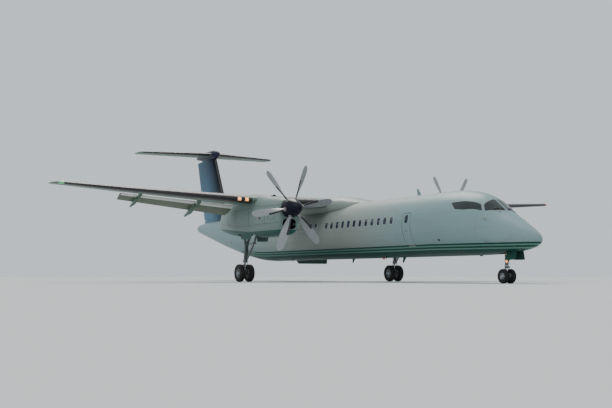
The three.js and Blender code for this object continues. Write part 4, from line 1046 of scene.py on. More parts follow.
class Finishes:
    """The materials, made once and looked up by name."""

    def __init__(self, livery):
        self.livery = livery
        self.wear = wear_group()
        self.panels = panel_group()
        self.bands = livery_group()
        self.made = {}

    def __getattr__(self, name):
        if name not in self.made:
            self.made[name] = self.make(name)
        return self.made[name]

    def make(self, name):
        for rows, maker in ((PLAIN_FINISHES, self.plain), (PANES, self.pane), (LAMPS, self.lamp)):
            if name in rows:
                return maker(name, *rows[name])
        return getattr(type(self), "make_" + name)(self, name)

    def colour(self, name):
        return (*getattr(self.livery, name), 1)

    def start(self, name, **settings):
        """A material with one shader; a constant goes straight on the shader's own socket."""
        material = bpy.data.materials.new(name)
        material.use_nodes = True
        tree = material.node_tree
        shader = tree.nodes["Principled BSDF"]
        for label, value in settings.items():
            shader.inputs[label.replace("_", " ")].default_value = value
        return material, tree, shader

    def worn(self, name, colour, joints, rough, streaks, fading, bump=0.004, **settings):
        """A painted surface: colour may be a socket made by a function of the tree."""
        material, tree, shader = self.start(name, **settings)
        base = colour(tree) if callable(colour) else tuple(colour)
        found = use(tree, self.wear, Colour=base, Streaks=streaks, Fading=fading, Roughness=rough)
        height, shown = found["Height"], found["Colour"]
        if joints:
            plus, minus, times = sums(tree)
            lines = use(tree, self.panels, **joints(tree))
            dark = mixed(tree, 1.0, shown, (0.55, 0.55, 0.55, 1), "MULTIPLY")
            shown = mixed(tree, times(lines["Joints"], 0.7), shown, dark)
            height = plus(height, minus(times(lines["Rivets"], 0.25), lines["Joints"]))
        inputs = {"Height": height, "Strength": 0.5, "Distance": bump}
        tree.links.new(shown, shader.inputs["Base Color"])
        tree.links.new(found["Roughness"], shader.inputs["Roughness"])
        tree.links.new(node(tree, "ShaderNodeBump", inputs).outputs[0], shader.inputs["Normal"])
        return material

    def plain(self, name, colour, joints, rough, streaks, fading, bump, more):
        colour = self.colour(colour) if isinstance(colour, str) else (*colour, 1)
        joints = self.span_joints if joints == "span" else None
        return self.worn(name, colour, joints, rough, streaks, fading, bump, **more)

    def pane(self, name, dark, light, scale, detail, more):
        material, tree, shader = self.start(name, **more)
        tree.links.new(mixed(tree, noise(tree, scale, detail), dark, light), shader.inputs["Base Color"])
        return material

    def lamp(self, name, colour, strength):
        material, tree, shader = self.start(name, Roughness=0.1, IOR=1.5)
        paler = tuple((1 - LAMP_WHITE) * share + LAMP_WHITE for share in colour)
        glow = mixed(tree, noise(tree, 9, 2), (*colour, 1), (*paler, 1))
        tree.links.new(glow, shader.inputs["Base Color"])
        tree.links.new(glow, shader.inputs["Emission Color"])
        shader.inputs["Emission Strength"].default_value = strength
        return material

    def body_joints(self, tree):
        _, x, y, z = place(tree)
        _, minus, times = sums(tree)
        angle = maths(tree, "ARCTAN2", minus(z, FUSELAGE_WIDEST), maths(tree, "ABSOLUTE", y))
        girth = times(angle, FUSELAGE_HALF)
        return {"Along": x, "Across": girth, "Along_pitch": 2.54, "Across_pitch": 0.79, "Width": 0.007}

    def span_joints(self, tree):
        _, x, y, _ = place(tree)
        return {"Along": y, "Across": x, "Along_pitch": 0.93, "Across_pitch": 0.62, "Width": 0.006}

    def fin_joints(self, tree):
        _, x, _, z = place(tree)
        plus, _, times = sums(tree)
        lean = plus(x, times(z, 0.45))
        return {"Along": z, "Across": lean, "Along_pitch": 0.8, "Across_pitch": 0.75, "Width": 0.006}

    def pale_skin(self, tree):
        """The pale paint in painted shade, cooler towards the nose and the tail: a painted cool reflection.
        """
        x = place(tree)[1]
        from_middle = maths(tree, "ABSOLUTE", maths(tree, "SUBTRACT", x, along(PALE_MIDDLE)))
        ends = ramp(tree, from_middle, *PALE_ENDS)
        return mixed(tree, ends, self.colour("upper"), self.colour("upper_ends"))

    def make_body_paint(self, name):
        def bands(tree):
            colours = {name.capitalize(): self.colour(name) for name in ("stripe", "between", "belly")}
            return use(tree, self.bands, Upper=self.pale_skin(tree), **colours)["Colour"]

        return self.worn(name, bands, self.body_joints, 0.42, 0.15, 0.06, **SATIN)

    # White paint drawn darkened to painted shade, with the painted cool reflection at the nose and tail
    def make_white_paint(self, name):
        return self.worn(name, self.pale_skin, self.body_joints, 0.42, 0.15, 0.06, **SATIN)

    # Nacelle sides in white paint darkened to painted shade, over the dark belly paint below the edge
    def make_nacelle_paint(self, name):
        def lower(tree):
            _, x, _, z = place(tree)
            _, minus, times = sums(tree)
            heights, drop, s0, s1 = NACELLE_EDGE.values()
            edge = times(ramp(tree, x, along(s1), along(s0)), -drop)
            below = ramp(tree, minus(z, edge), *heights)
            return mixed(tree, below, self.colour("nacelle"), self.colour("nacelle_belly"))

        return self.worn(name, lower, self.span_joints, 0.42, 0.3, 0.1, **SATIN)

    def make_tail_paint(self, name):
        def faded(tree):
            _, x, _, z = place(tree)
            plus, minus, times = sums(tree)
            lead, chord = (plus(times(z, slope), foot) for slope, foot in FIN_LINES.values())
            behind = minus(minus(LENGTH / 2, x), lead)
            share = ramp(tree, maths(tree, "DIVIDE", behind, chord), *FIN_EDGE_FADE)
            foot = ramp(tree, z, *FIN_FOOT_FADE)
            side = mixed(tree, foot, self.colour("tail"), self.colour("tail_foot"))
            return mixed(tree, share, self.colour("tail_edge"), side)

        return self.worn(name, faded, self.fin_joints, 0.38, 0.08, 0.05, **SATIN)


# Geometry Nodes


def node_tree(name, inputs):
    """A geometry node tree with named inputs; returns it, its inputs and what its output links to."""
    tree = bpy.data.node_groups.new(name, "GeometryNodeTree")
    tree.interface.new_socket("Geometry", in_out="INPUT", socket_type="NodeSocketGeometry")
    tree.interface.new_socket("Geometry", in_out="OUTPUT", socket_type="NodeSocketGeometry")
    for label, (kind, default) in inputs.items():
        socket = tree.interface.new_socket(label, in_out="INPUT", socket_type="NodeSocket" + kind)
        if default is not None:
            socket.default_value = default
    return tree, tree.nodes.new("NodeGroupInput").outputs, tree.nodes.new("NodeGroupOutput").inputs[0]


def adder(tree):
    """A way to add a geometry node to a tree, which gives one of its outputs."""

    def add(kind, inputs=None, output=0, **settings):
        return node(tree, "GeometryNode" + kind, inputs, **settings).outputs[output]

    return add


def realized(tree, instances, material, out):
    """Ends a tree: its instances made real and given their material."""
    add = adder(tree)
    real = add("RealizeInstances", {0: instances})
    tree.links.new(add("SetMaterial", {"Geometry": real, "Material": material}), out)


def row_tree():
    """A piece repeated at every point that it is given."""
    inputs = {"Piece": ("Object", None), "Material": ("Material", None)}
    tree, given, out = node_tree("piece at every point", inputs)
    add = adder(tree)
    unit = add("ObjectInfo", {"Object": given["Piece"]}, "Geometry")
    points = add("MeshToPoints", {0: given["Geometry"]})
    placed = add("InstanceOnPoints", {"Points": points, "Instance": unit})
    realized(tree, placed, given["Material"], out)
    return tree


def wheel_tree():
    """A piece repeated in equal steps round an axis."""
    inputs = {
        "Count": ("Int", 6), "Centre": ("Vector", (0, 0, 0)), "Axis": ("Vector", (1, 0, 0)),
        "First angle": ("Float", 0.0), "Material": ("Material", None),
    }
    tree, given, out = node_tree("piece round an axis", inputs)
    add = adder(tree)
    inputs = {0: given["Centre"], "Scale": -1.0}
    back = node(tree, "ShaderNodeVectorMath", inputs, operation="SCALE").outputs[0]
    centred = add("Transform", {"Geometry": given["Geometry"], "Translation": back})
    points = add("Points", {"Count": given["Count"], "Position": given["Centre"]})
    step = maths(tree, "DIVIDE", math.tau, given["Count"])
    angle = maths(tree, "ADD", maths(tree, "MULTIPLY", add("InputIndex"), step), given["First angle"])
    turn = node(tree, "FunctionNodeAxisAngleToRotation", {"Axis": given["Axis"], "Angle": angle}).outputs[0]
    placed = add("InstanceOnPoints", {"Points": points, "Instance": centred, "Rotation": turn})
    realized(tree, placed, given["Material"], out)
    return tree


def fastener_tree():
    """Low round heads set along seams and turned to face out of the skin that they hold."""
    inputs = {
        "Skin": ("Object", None), "Spacing": ("Float", 0.06), "Radius": ("Float", 0.006),
        "Material": ("Material", None),
    }
    tree, given, out = node_tree("fasteners along seams", inputs)
    add = adder(tree)
    skin = add("ObjectInfo", {"Object": given["Skin"]}, "Geometry")
    seams = add("MeshToCurve", {"Mesh": given["Geometry"]})
    spaced = add("ResampleCurve", {"Curve": seams, "Length": given["Spacing"]}, mode="LENGTH")
    on_skin = add("Proximity", {0: skin}, "Position", target_element="FACES")
    placed = add("SetPosition", {"Geometry": spaced, "Position": on_skin})
    inputs = {"Mesh": skin, "Value": add("InputNormal")}
    outwards = add("SampleNearestSurface", inputs, "Value", data_type="FLOAT_VECTOR")
    turn = node(tree, "FunctionNodeAlignRotationToVector", {"Vector": outwards}, axis="Z").outputs[0]
    height = maths(tree, "MULTIPLY", given["Radius"], 0.35)
    top = maths(tree, "MULTIPLY", given["Radius"], 0.65)
    inputs = {"Vertices": 8, "Radius Top": top, "Radius Bottom": given["Radius"], "Depth": height}
    heads = add("InstanceOnPoints", {"Points": placed, "Instance": add("MeshCone", inputs), "Rotation": turn})
    realized(tree, heads, given["Material"], out)
    return tree


def grown(name, body, slot, tree, start, inputs, replaces=()):
    """Runs a node tree on a mesh and keeps what it makes as one plain piece."""
    maker = linked(name + "_maker", start)
    modifier = maker.modifiers.new("make", "NODES")
    modifier.node_group = tree
    for socket in tree.interface.items_tree:
        if socket.in_out == "INPUT" and socket.name in inputs:
            modifier[socket.identifier] = inputs[socket.name]
    maker.update_tag()
    bpy.context.view_layer.update()
    mesh = bpy.data.meshes.new_from_object(maker.evaluated_get(bpy.context.evaluated_depsgraph_get()))
    bpy.data.objects.remove(maker)
    bpy.data.meshes.remove(start)
    mesh.name = name
    return finished(linked(name, mesh), body, slot, replaces)


def points_mesh(name, points):
    mesh = bpy.data.meshes.new(name)
    mesh.from_pydata([tuple(map(float, point)) for point in points], [], [])
    return mesh


def seams_mesh(name, seams):
    """Closed lines as one mesh of edges."""
    points, edges = [], []
    for seam in seams:
        first, count = len(points), len(seam)
        points += [tuple(map(float, point)) for point in seam]
        edges += [(first + k, first + (k + 1) % count) for k in range(count)]
    mesh = bpy.data.meshes.new(name)
    mesh.from_pydata(points, edges, [])
    return mesh


# Fuselage


def at(station, y, z):
    return np.array([along(station), y, z], float)


def skin_between(start, end):
    """The fuselage skin between two stations, closed at both ends."""
    nose = np.linspace(0, math.sqrt(5.2), 64) ** 2
    tail = np.arange(TAPER_START, FUSELAGE_END, 0.2)
    stations = np.concatenate([nose, np.arange(5.6, TAPER_START, 0.4), tail])
    inside = stations[(stations > start + 0.01) & (stations < end - 0.01)]
    return body_loft(fuselage_rows([start, *inside, end]))


def skin_depth(points):
    """How deep points lie under the fuselage skin."""
    row = fuselage_rows(np.clip(LENGTH / 2 - points[:, 0], 0, FUSELAGE_END))
    reach = np.where(points[:, 2] > row["wide"], row["top"] - row["wide"], row["wide"] - row["bottom"])
    return (1 - np.hypot(points[:, 1] / row["half"], (points[:, 2] - row["wide"]) / reach)) * row["half"]


def glass_outline(corners):
    """A cockpit pane's outline in station and angle, with round corners and many points."""
    outline = corner_rounded(corners, 0.05, 4)
    filled = []
    for k, point in enumerate(outline):
        following = outline[(k + 1) % len(outline)]
        count = max(1, int(np.linalg.norm(following - point) / 0.05))
        filled += list(np.linspace(point, following, count + 1)[:-1])
    return np.array(filled)


def side_glass():
    return glass_outline(side_outline(SIDE_GLASS))


def front_glass():
    """The windscreen pane: two corners beside the centre post, and three on the side."""
    beside_post = [(s, math.acos(WINDSCREEN_POST / fuselage_rows(s)["half"][0])) for s in FRONT_GLASS_POST]
    return glass_outline([*beside_post, *side_outline(FRONT_GLASS_SIDE)])


def window_outline(middle=WINDOW_ROWS[0][0]):
    half, tall, z = WINDOW["width"] / 2, WINDOW["height"] / 2, WINDOW["z"]
    corners = [(middle + a * half, z + b * tall) for a, b in ((-1, -1), (1, -1), (1, 1), (-1, 1))]
    return side_outline(corner_rounded(corners, 0.42 * WINDOW["width"], 5))


def window_offsets():
    """Where each cabin window lies, from the first one."""
    first = WINDOW_ROWS[0][0]
    return [(first - start - k * WINDOW_PITCH, 0, 0) for start, count in WINDOW_ROWS for k in range(count)]


def shifted(solid, offset):
    return moved(solid, Matrix.Translation(offset))


def skin_openings():
    """What is cut out of the fuselage skin for its doors and its glass."""
    tools = []
    for side, s0, s1, z0, z1 in DOORS.values():
        outline = spread_outline(rounded_box(s0, s1, z0, z1), SEAM)
        tools.append(on_side(patch(outline, PROUD_TOOL, DOOR_THICKNESS + SEAM), side))
    stair = rounded_box(*AIRSTAIR.values())
    tools.append(patch(spread_outline(stair, SEAM), PROUD_TOOL, AIRSTAIR_RECESS))
    for outline in (side_glass(), front_glass()):
        recess = patch(spread_outline(outline, GLASS_GAP), PROUD_TOOL, GLASS_RECESS)
        tools += [on_side(recess, side) for side in SIDES.values()]
    opening = patch(window_outline(), PROUD_TOOL, WINDOW_RECESS, rings=2)
    for side in SIDES.values():
        tools += [on_side(shifted(opening, offset), side) for offset in window_offsets()]
    return joined(*tools)


def skin_finish(paint):
    """Paint outside, lining in the doorway, and primer in the bay and under windows and doors, darkened to
    near-black as painted shade.
    """

    def by_depth(centres):
        in_bay = (centres[:, 0] > along(2.3)) & (centres[:, 2] < NOSE_BAY["roof"] + 0.01)
        deep = skin_depth(centres)
        return np.where(deep < 0.004, 0, np.where(in_bay | (deep < 0.1), 2, 1))

    return [paint.body_paint, paint.cabin_lining, paint.dark_primer], by_depth


def jack_pad(station, y, top, foot, radius):
    return rod(at(station, y, top), at(station, y, foot), radius, edge=0.004)


def make_fuselage(paint):
    bay = prism(nose_bay_outline(), "z", 0.9, NOSE_BAY["roof"])
    skin = cut(skin_between(RADOME_END, TAIL_CONE_START), skin_openings(), bay)
    parts = [(skin, skin_finish(paint)), (jack_pad(*NOSE_PAD), paint.gear_paint)]
    piece("fuselage_skin", "airframe", parts, "upper_paint", ["fuselage"])
    radome = skin_between(0, RADOME_END - SEAM)
    cone = skin_between(TAIL_CONE_START + SEAM, FUSELAGE_END)
    fairing = body_loft(rows_at(WING_FAIRING, "s", np.linspace(11.7, 18.7, 60)), power=2.4, sides=72)
    dorsal = body_loft(rows_at(DORSAL, "s", np.linspace(22.7, 28.5, 30)), power=2.2, sides=48)
    for name, solid, material, slot, replaced in (
        ("radome_shell", radome, paint.body_paint, "upper_paint", "radome"),
        ("tail_cone_shell", cone, paint.body_paint, "upper_paint", "tail_cone"),
        ("wing_root_fairing", fairing, paint.white_paint, "upper_paint", "wing_fairing"),
        ("dorsal_fin_skin", dorsal, paint.white_paint, "tail_paint", "dorsal_fin"),
    ):
        piece(name, "airframe", [(solid, material)], slot, [replaced])


def nose_bay_outline():
    x0, x1, half = along(NOSE_BAY["s0"]), along(NOSE_BAY["s1"]), NOSE_BAY["half"]
    return corner_rounded(((x0, -half), (x0, half), (x1, half), (x1, -half)), 0.03, 3)


# Doors


def outer_and_inner(outer, inner):
    """Two materials: one on the skin's own surface and one under it."""
    return [outer, inner], lambda centres: skin_depth(centres) > 0.012


def door_line(outline):
    """The dark line painted round a door."""
    return ring_patch(spread_outline(outline, DOOR_LINE), spread_outline(outline, SEAM), -0.0012, 0.003)


def handle_cup(outline):
    """The metal rim of the hollow round a handle."""
    return ring_patch(spread_outline(outline, 0.008), outline, -0.002, 0.01)


def make_doors(paint):
    for name, (side, *limits) in DOORS.items():
        parts = mirrored(fixed_door_parts(paint, *limits, name == "service_door_aft"), side)
        piece(name + "_panel", "airframe", parts, "upper_paint", [name])


def fixed_door_parts(paint, s0, s1, z0, z1, plated):
    """A door with its window, seal, outline, handle and sill, and a kick plate if it is plated."""
    outline = rounded_box(s0, s1, z0, z1)
    middle, low = (s0 + s1) / 2, z0 + HANDLE["height_share"] * (z1 - z0)
    light = window_outline(middle)
    panel = cut(patch(outline, 0, DOOR_THICKNESS), patch(light, -0.02, WINDOW_RECESS, rings=2))
    seal = ring_patch(spread_outline(outline, SEAM), spread_outline(outline, 0.0005), 0.01, 0.05)
    pane = patch(spread_outline(light, -0.004), 0.006, 0.024, rings=2)
    cup = rounded_box(middle - HANDLE["half"], middle + HANDLE["half"], low, low + HANDLE["tall"], 0.03)
    bar = patch(rounded_box(middle - 0.07, middle + 0.07, low + 0.025, low + 0.045, 0.008), -0.006, 0.006)
    sill = patch(rounded_box(s0 + 0.03, s1 - 0.03, z0 - 0.055, z0 - 0.02, 0.01), -0.006, 0.01)
    # Under the skin the door's faces take the near-black primer: painted shade in the gap
    parts = [(panel, outer_and_inner(paint.body_paint, paint.dark_primer)), (pane, paint.cabin_glass)]
    parts += painted(paint.hose_rubber, seal, door_line(outline), bar)
    parts += painted(paint.bare_metal, handle_cup(cup), sill)
    if plated:
        plate = patch(rounded_box(s0 + 0.04, s1 - 0.04, z0 + 0.04, z0 + 0.3, 0.03), -0.003, 0.01)
        parts += painted(paint.alloy, plate)
    return parts


def make_airstair(paint):
    """The boarding door, with steps and handrails folded on its inner face."""
    s0, s1, z0, z1 = AIRSTAIR.values()
    outline = rounded_box(s0, s1, z0, z1)
    parts = [(patch(outline, 0, DOOR_THICKNESS), outer_and_inner(paint.body_paint, paint.cabin_lining))]
    heights = np.linspace(z0 + 0.12, z1 - 0.15, 16)
    wide, outer, inner = (STRINGS[key] for key in ("wide", "outer", "inner"))
    for start in (s0 + STRINGS["starts"][0], s1 + STRINGS["starts"][1]):
        corners = ((start, outer), (start + wide, outer), (start + wide, inner), (start, inner))
        rings = [[on_fuselage(s, angle_of(s, z)[0], depth) for s, depth in corners] for z in heights]
        parts.append((bevelled(loft(rings), 0.004), paint.alloy))
        depth = STRINGS["rail"]
        rail = [on_fuselage(start + wide / 2, angle_of(start, z)[0], depth) for z in heights[1:-1:2]]
        parts.append((tube(rail, 0.014, 10, steps=3), paint.chrome))
    for k in range(AIRSTAIR_STEPS):
        z = z0 + (k + 0.7) * (z1 - z0) / (AIRSTAIR_STEPS + 0.3)
        outside, inside = (skin_point(s0, z, -depth)[1] for depth in (0.1, 0.262))
        tread = block((along(s1 - 0.062), along(s0 + 0.062)), (inside, outside), (z - 0.018, z + 0.018))
        parts.append((tread, paint.alloy))
    low = z0 + 0.5
    handle = rounded_box(s0 + 0.1, s0 + 0.27, low, low + 0.06, 0.02)
    parts.append((handle_cup(handle), paint.bare_metal))
    piece("boarding_door_and_steps", "boarding_door", parts, "upper_paint", ["airstair_door"])
    seal = ring_patch(spread_outline(outline, SEAM), spread_outline(outline, 0.003), 0.012, 0.06)
    parts = painted(paint.hose_rubber, seal, door_line(outline))
    piece("boarding_door_seal", "airframe", parts, "upper_paint")


# Glass


def make_cockpit_glass(paint):
    outlines = {"cockpit_side_window": side_glass(), "windscreen": front_glass()}
    for word, side in SIDES.items():
        for name, outline in outlines.items():
            rim = ring_patch(spread_outline(outline, GLASS_GAP), spread_outline(outline, -0.016), 0.001, 0.02)
            parts = mirrored([(patch(outline, 0.004, 0.03), paint.glass), (rim, paint.hose_rubber)], side)
            piece(f"{name}_pane_{word}", "airframe", parts, "cockpit_glass", [f"{name}_{word}"])


def make_cabin_windows(paint):
    outline = window_outline()
    pane = patch(spread_outline(outline, -0.003), 0.005, 0.026, rings=2)
    rim = ring_patch(spread_outline(outline, 0.022), spread_outline(outline, -0.001), -0.0015, 0.012)
    tree = row_tree()
    for word, side in SIDES.items():
        for kind, unit, material in (("panes", pane, paint.cabin_glass), ("frames", rim, paint.window_frame)):
            name = f"cabin_window_{kind}_{word}"
            in_row(name, "airframe", "cockpit_glass", tree, on_side(unit, side), window_offsets(), material)


def in_row(name, body, slot, tree, unit, places, material):
    """One piece made of a small solid repeated at places."""
    template = linked("unit", mesh_of("unit", unit))
    inputs = {"Piece": template, "Material": material}
    grown(name, body, slot, tree, points_mesh("places", places), inputs)
    bpy.data.objects.remove(template)


# Wing


def nose_shell(rows, ring, share, cambered, proud=0.003, under=0.004, thick=1.0):
    """A thin cover over the nose of a surface, such as a de-icing boot, back to a share of the chord."""
    spread = share * (1 - np.cos(np.pi * np.arange(13) / 24))
    line = mean_line(spread, cambered)
    rings = []
    for row in each(rows):
        loops = []
        for more in (proud / row["chord"], -under / row["chord"]):
            half = thick * row["thick"] * thickness(spread) + more
            x = spread * (1 + 2 * more) - more
            top = np.stack([x, line + half], 1)[::-1]
            low = np.stack([x, line - half], 1)
            loops.append(np.concatenate([top, low]))
        rings.append(ring(row, np.concatenate([loops[0], loops[1][::-1]])))
    return loft(rings)


def wing_boot(name):
    y0, y1, share = BOOTS[name]
    return nose_shell(wing_rows(WING, span_places(y0, y1)), wing_ring, share, True)


def make_wing(paint):
    fixed = {"end": FLAP_START, "shroud": SHROUD_END, "cambered": True}
    root = wing_part(WING, 0.9, INNER_FLAP["y0"] - SWING, cambered=True)
    ahead = wing_part(WING, INNER_FLAP["y0"] - SWING, WING_SPLIT_Y - 0.001, **fixed)
    parts = painted(paint.wing_paint, root, ahead) + painted(paint.boot_rubber, wing_boot("wing_centre"))
    parts = mirrored(parts, 1) + mirrored(parts, -1)
    piece("wing_centre_skin", "airframe", parts, "wing_paint", ["wing_centre"])
    parts = painted(paint.wing_paint, *outer_wing_parts(fixed), *fixed_fairings())
    parts += painted(paint.boot_rubber, wing_boot("wing_outer"))
    for y in LANDING_LAMPS:
        for material, (half, share, proud) in LAMP_COVERS.items():
            rows = wing_rows(WING, np.linspace(y - half, y + half, 5))
            parts.append((nose_shell(rows, wing_ring, share, True, proud, 0.001), getattr(paint, material)))
    pair("wing_outer_skin_{}", "airframe", parts, "wing_paint", ["wing_outer_{}"])


def outer_wing_parts(fixed):
    """The outer wing, from its joint: at the flap, up to the aileron, at the aileron, and on to the tip."""
    flap_end = OUTER_FLAP["y1"] + SWING
    aileron_start, aileron_end = AILERON["y0"] - SWING, AILERON["y1"] + SWING
    hinged = {"end": AILERON_HINGE - 0.018, "cove": AILERON_HINGE, "cambered": True}
    return [
        wing_part(WING, WING_SPLIT_Y + 0.001, flap_end, **fixed),
        wing_part(WING, flap_end, aileron_start, cambered=True),
        wing_part(WING, aileron_start, aileron_end, **hinged),
        wing_part(WING, aileron_end, WING_TIP, cambered=True),
    ]


def fairing_body(points, y, half=FAIRING_HALF, angle=40):
    """A slim rounded body from a side view outline of x and z."""
    return bevelled(prism(points, "y", y - half, y + half), FAIRING_ROUNDING, 4, angle)


def fixed_fairings():
    """The front halves of the track fairings."""
    made = []
    for y in FLAP_FAIRINGS:
        row, chord = wing_row(y), wing_row(y)["chord"]
        outline = side_view([(row["s"] + a * chord, row["z"] + b * chord) for a, b in FIXED_FAIRING])
        made.append(fairing_body(outline, y))
    return made


def flap_turn(span):
    """How a flap lies when it is lowered to its rest angle, as a matrix about its pivot line."""
    ends = wing_rows(WING, np.array([span["y0"], span["y1"]]))
    x = along(ends["s"] + FLAP["pivot"] * ends["chord"])
    z = ends["z"] - FLAP["pivot_drop"] * ends["chord"]
    start, end = (Vector((x[k], ends["y"][k], z[k])) for k in range(2))
    turn = Matrix.Rotation(-math.radians(FLAP_REST_ANGLE), 4, end - start)
    return Matrix.Translation(start) @ turn @ Matrix.Translation(-start)


def flap_ring(span):
    """A function that places a flap section, in shares of the flap's chord, before the flap is lowered."""

    def ring(row, points):
        chord = span["chord"] * row["chord"]
        x = along(row["s"] + FLAP["lead"] * row["chord"] + points[:, 0] * chord)
        z = row["z"] - FLAP["lead_drop"] * row["chord"] + points[:, 1] * chord
        return np.stack([x, np.full(len(x), row["y"]), z], 1)

    return ring


def make_flaps(paint):
    for part, span in (("inner", INNER_FLAP), ("outer", OUTER_FLAP)):
        y0, y1 = span["y0"], span["y1"]
        ring, turn = flap_ring(span), flap_turn(span)
        rows = each(wing_rows(WING, span_places(y0, y1)))
        skin = loft([ring(row, aerofoil(FLAP["thick"] * row["thick"], cambered=True)) for row in rows])
        inset = wing_rows(WING, span_places(y0 + 0.01, y1 - 0.01))
        nose = nose_shell(inset, ring, 0.2, True, 0.002, 0.003, FLAP["thick"])
        # The pale nose band is a painted highlight on the lit flap nose
        parts = [(skin, paint.flap_paint), (nose, paint.band_paint)]
        if part == "outer":
            parts += painted(paint.wing_paint, *flap_fairings(ring))
        parts = [(moved(solid, turn), material) for solid, material in parts]
        pair(f"flap_{part}_skin_{{}}", f"{{}}_{part}_flap", parts, "wing_paint", [f"flap_{part}_{{}}"])


def flap_fairings(ring):
    """The rear halves of the track fairings, before the flap is lowered."""
    shape = np.array(MOVING_FAIRING)
    return [fairing_body(ring(wing_row(y), shape)[:, [0, 2]], y, angle=30) for y in FLAP_FAIRINGS]


def make_ailerons(paint):
    shape = {"start": AILERON_HINGE, "nose": AILERON_HINGE, "cambered": True}
    skin = wing_part(WING, AILERON["y0"], AILERON["y1"], **shape)
    pair("aileron_skin_{}", "{}_aileron", [(skin, paint.wing_paint)], "wing_paint", ["aileron_{}"])


# Engines


def nacelle_part(start, end, lip=False):
    stations = np.unique([*NACELLE["s"], *np.arange(11.6, 18.7, 0.2), start, end])
    stations = stations[(stations >= start) & (stations <= end)]
    rows = each(rows_at(NACELLE, "s", stations))
    rings = [nacelle_ring(row) for row in rows]
    if lip:
        front = rows[0]
        rings[:1] = [nacelle_ring({**front, "s": front["s"] + aft}, inset) for aft, inset in COWL_LIP]
    return loft(rings)


def nacelle_ring(row, inset=0.0):
    ys, zs = oval(row["top"], row["bottom"], row["half"], None, NACELLE_POWER, inset, 72)
    middle, half = (row["top"] + row["bottom"]) / 2, (row["top"] - row["bottom"]) / 2
    return np.stack([along(row["s"] + row["lean"] * (middle - zs) / half), ENGINE_Y + ys, zs], 1)


def intake_ring(station, more):
    ys, zs = oval(INTAKE["top"] + more, INTAKE["bottom"] - more, INTAKE["half"] + more, None, 3, 0, 48)
    return np.stack([np.full(48, along(station)), ENGINE_Y + ys, zs], 1)


def intake_lip():
    """A rounded rim round the mouth of the intake."""
    middle = NACELLE["s"][0] + 0.012
    rings = []
    for turn in np.linspace(0, 2 * np.pi, 13)[:-1]:
        rings.append(intake_ring(middle - 0.02 * math.cos(turn), 0.018 + 0.018 * math.sin(turn)))
    return band(rings)


def nacelle_side_point(station, height, hand=1):
    """A point on the outboard side of the port nacelle, or with hand=-1 on its inboard side."""
    row = each(rows_at(NACELLE, "s", station))[0]
    middle, half = (row["top"] + row["bottom"]) / 2, (row["top"] - row["bottom"]) / 2
    share = abs(height - middle) / half
    across = row["half"] * (1 - share**NACELLE_POWER) ** (1 / NACELLE_POWER)
    return at(station + row["lean"] * (middle - height) / half, ENGINE_Y + hand * across, height)


def nacelle_seams(lines):
    """Thin dark joints on both sides of a nacelle."""
    solids = []
    for hand in (1, -1):
        for corners in lines:
            path = [nacelle_side_point(*corners[0], hand)]
            for (s0, z0), (s1, z1) in zip(corners, corners[1:]):
                steps = np.linspace(0, 1, max(2, int(math.hypot(s1 - s0, z1 - z0) / 0.1)) + 1)[1:]
                path += [nacelle_side_point(s0 + t * (s1 - s0), z0 + t * (z1 - z0), hand) for t in steps]
            solids.append(tube(path, 0.006, 6, curved=False))
    return solids


def make_nacelles(paint):
    pair("engine_cowl_skin_{}", "airframe", cowl_parts(paint), "upper_paint", ["engine_cowl_{}"])
    pair("nacelle_skin_{}", "airframe", nacelle_parts(paint), "upper_paint", ["nacelle_{}"])


def cowl_parts(paint):
    """The cowl with its intake duct, joints and scoops."""
    front = NACELLE["s"][0]
    stations = ((front - 0.05, 0.0), (front + 0.3, 0.0), (front + INTAKE["depth"], -0.05))
    duct = loft([intake_ring(station, more) for station, more in stations])
    cowl = cut(nacelle_part(front, FIREWALL_STATION - 0.003, lip=True), duct)

    def in_duct(centres):
        across = np.abs(centres[:, 1] - ENGINE_Y) < INTAKE["half"] - 0.001
        up = (centres[:, 2] > INTAKE["bottom"] + 0.001) & (centres[:, 2] < INTAKE["top"] - 0.001)
        return across & up & (centres[:, 0] < along(front + 0.02)) & (centres[:, 0] > along(front + 0.43))

    # The faces inside the intake duct take near-black: painted shade in the duct
    parts = [(cowl, ([paint.nacelle_paint, paint.black_void], in_duct)), (intake_lip(), paint.nacelle_paint)]
    parts += painted(paint.hose_rubber, *nacelle_seams(COWL_SEAMS))
    return parts + painted(paint.bare_metal, *cowl_scoops())


def nacelle_parts(paint):
    """The nacelle behind the firewall with its wheel bay, exhaust, jack pad, joints and outboard door."""
    x0, x1, half = along(WHEEL_BAY["s0"]), along(WHEEL_BAY["s1"]), WHEEL_BAY["half"]
    box = [(x0, ENGINE_Y - half), (x0, ENGINE_Y + half), (x1, ENGINE_Y + half), (x1, ENGINE_Y - half)]
    bay = prism(corner_rounded(box, 0.06, 3), "z", 1.5, WHEEL_BAY["roof"])
    aft = cut(nacelle_part(FIREWALL_STATION, NACELLE["s"][-1]), bay)

    def in_bay(centres):
        x, y, z = centres[:, 0], np.abs(centres[:, 1] - ENGINE_Y), centres[:, 2]
        near = lambda values, wall: np.abs(values - wall) < 0.002
        inside = (y < half + 0.002) & (x < x0 + 0.002) & (x > x1 - 0.002)
        return inside & (near(y, half) | near(x, x0) | near(x, x1) | near(z, WHEEL_BAY["roof"]))

    # The wheel bay's walls and roof take the near-black primer: painted shade in the bay
    parts = [(aft, ([paint.nacelle_paint, paint.dark_primer], in_bay))]
    parts += painted(paint.burnt_metal, pipe_end(EXHAUST, ENGINE_Y, 0.3))
    parts += painted(paint.gear_paint, jack_pad(*WING_PAD))
    parts += painted(paint.hose_rubber, *nacelle_seams(NACELLE_SEAMS))
    return parts + door_parts(paint, OUTBOARD_DOOR, ENGINE_Y + half, -1)


def pipe_end(rows, y, depth):
    """An oval pipe whose last end is open. Rows are station, height, half width and half height."""
    rings = []
    for s, z, half, tall in rows:
        ys, zs = oval(z + tall, z - tall - 0.3 * half, half, None, 2.5, 0, 32)
        rings.append(np.stack([np.full(32, along(s)), y + ys, zs], 1))
    centre = rings[-1].mean(0)
    mouth = centre + (rings[-1] - centre) * (1, 0.88, 0.82)
    return loft([*rings, mouth, mouth + (depth, 0, 0)])


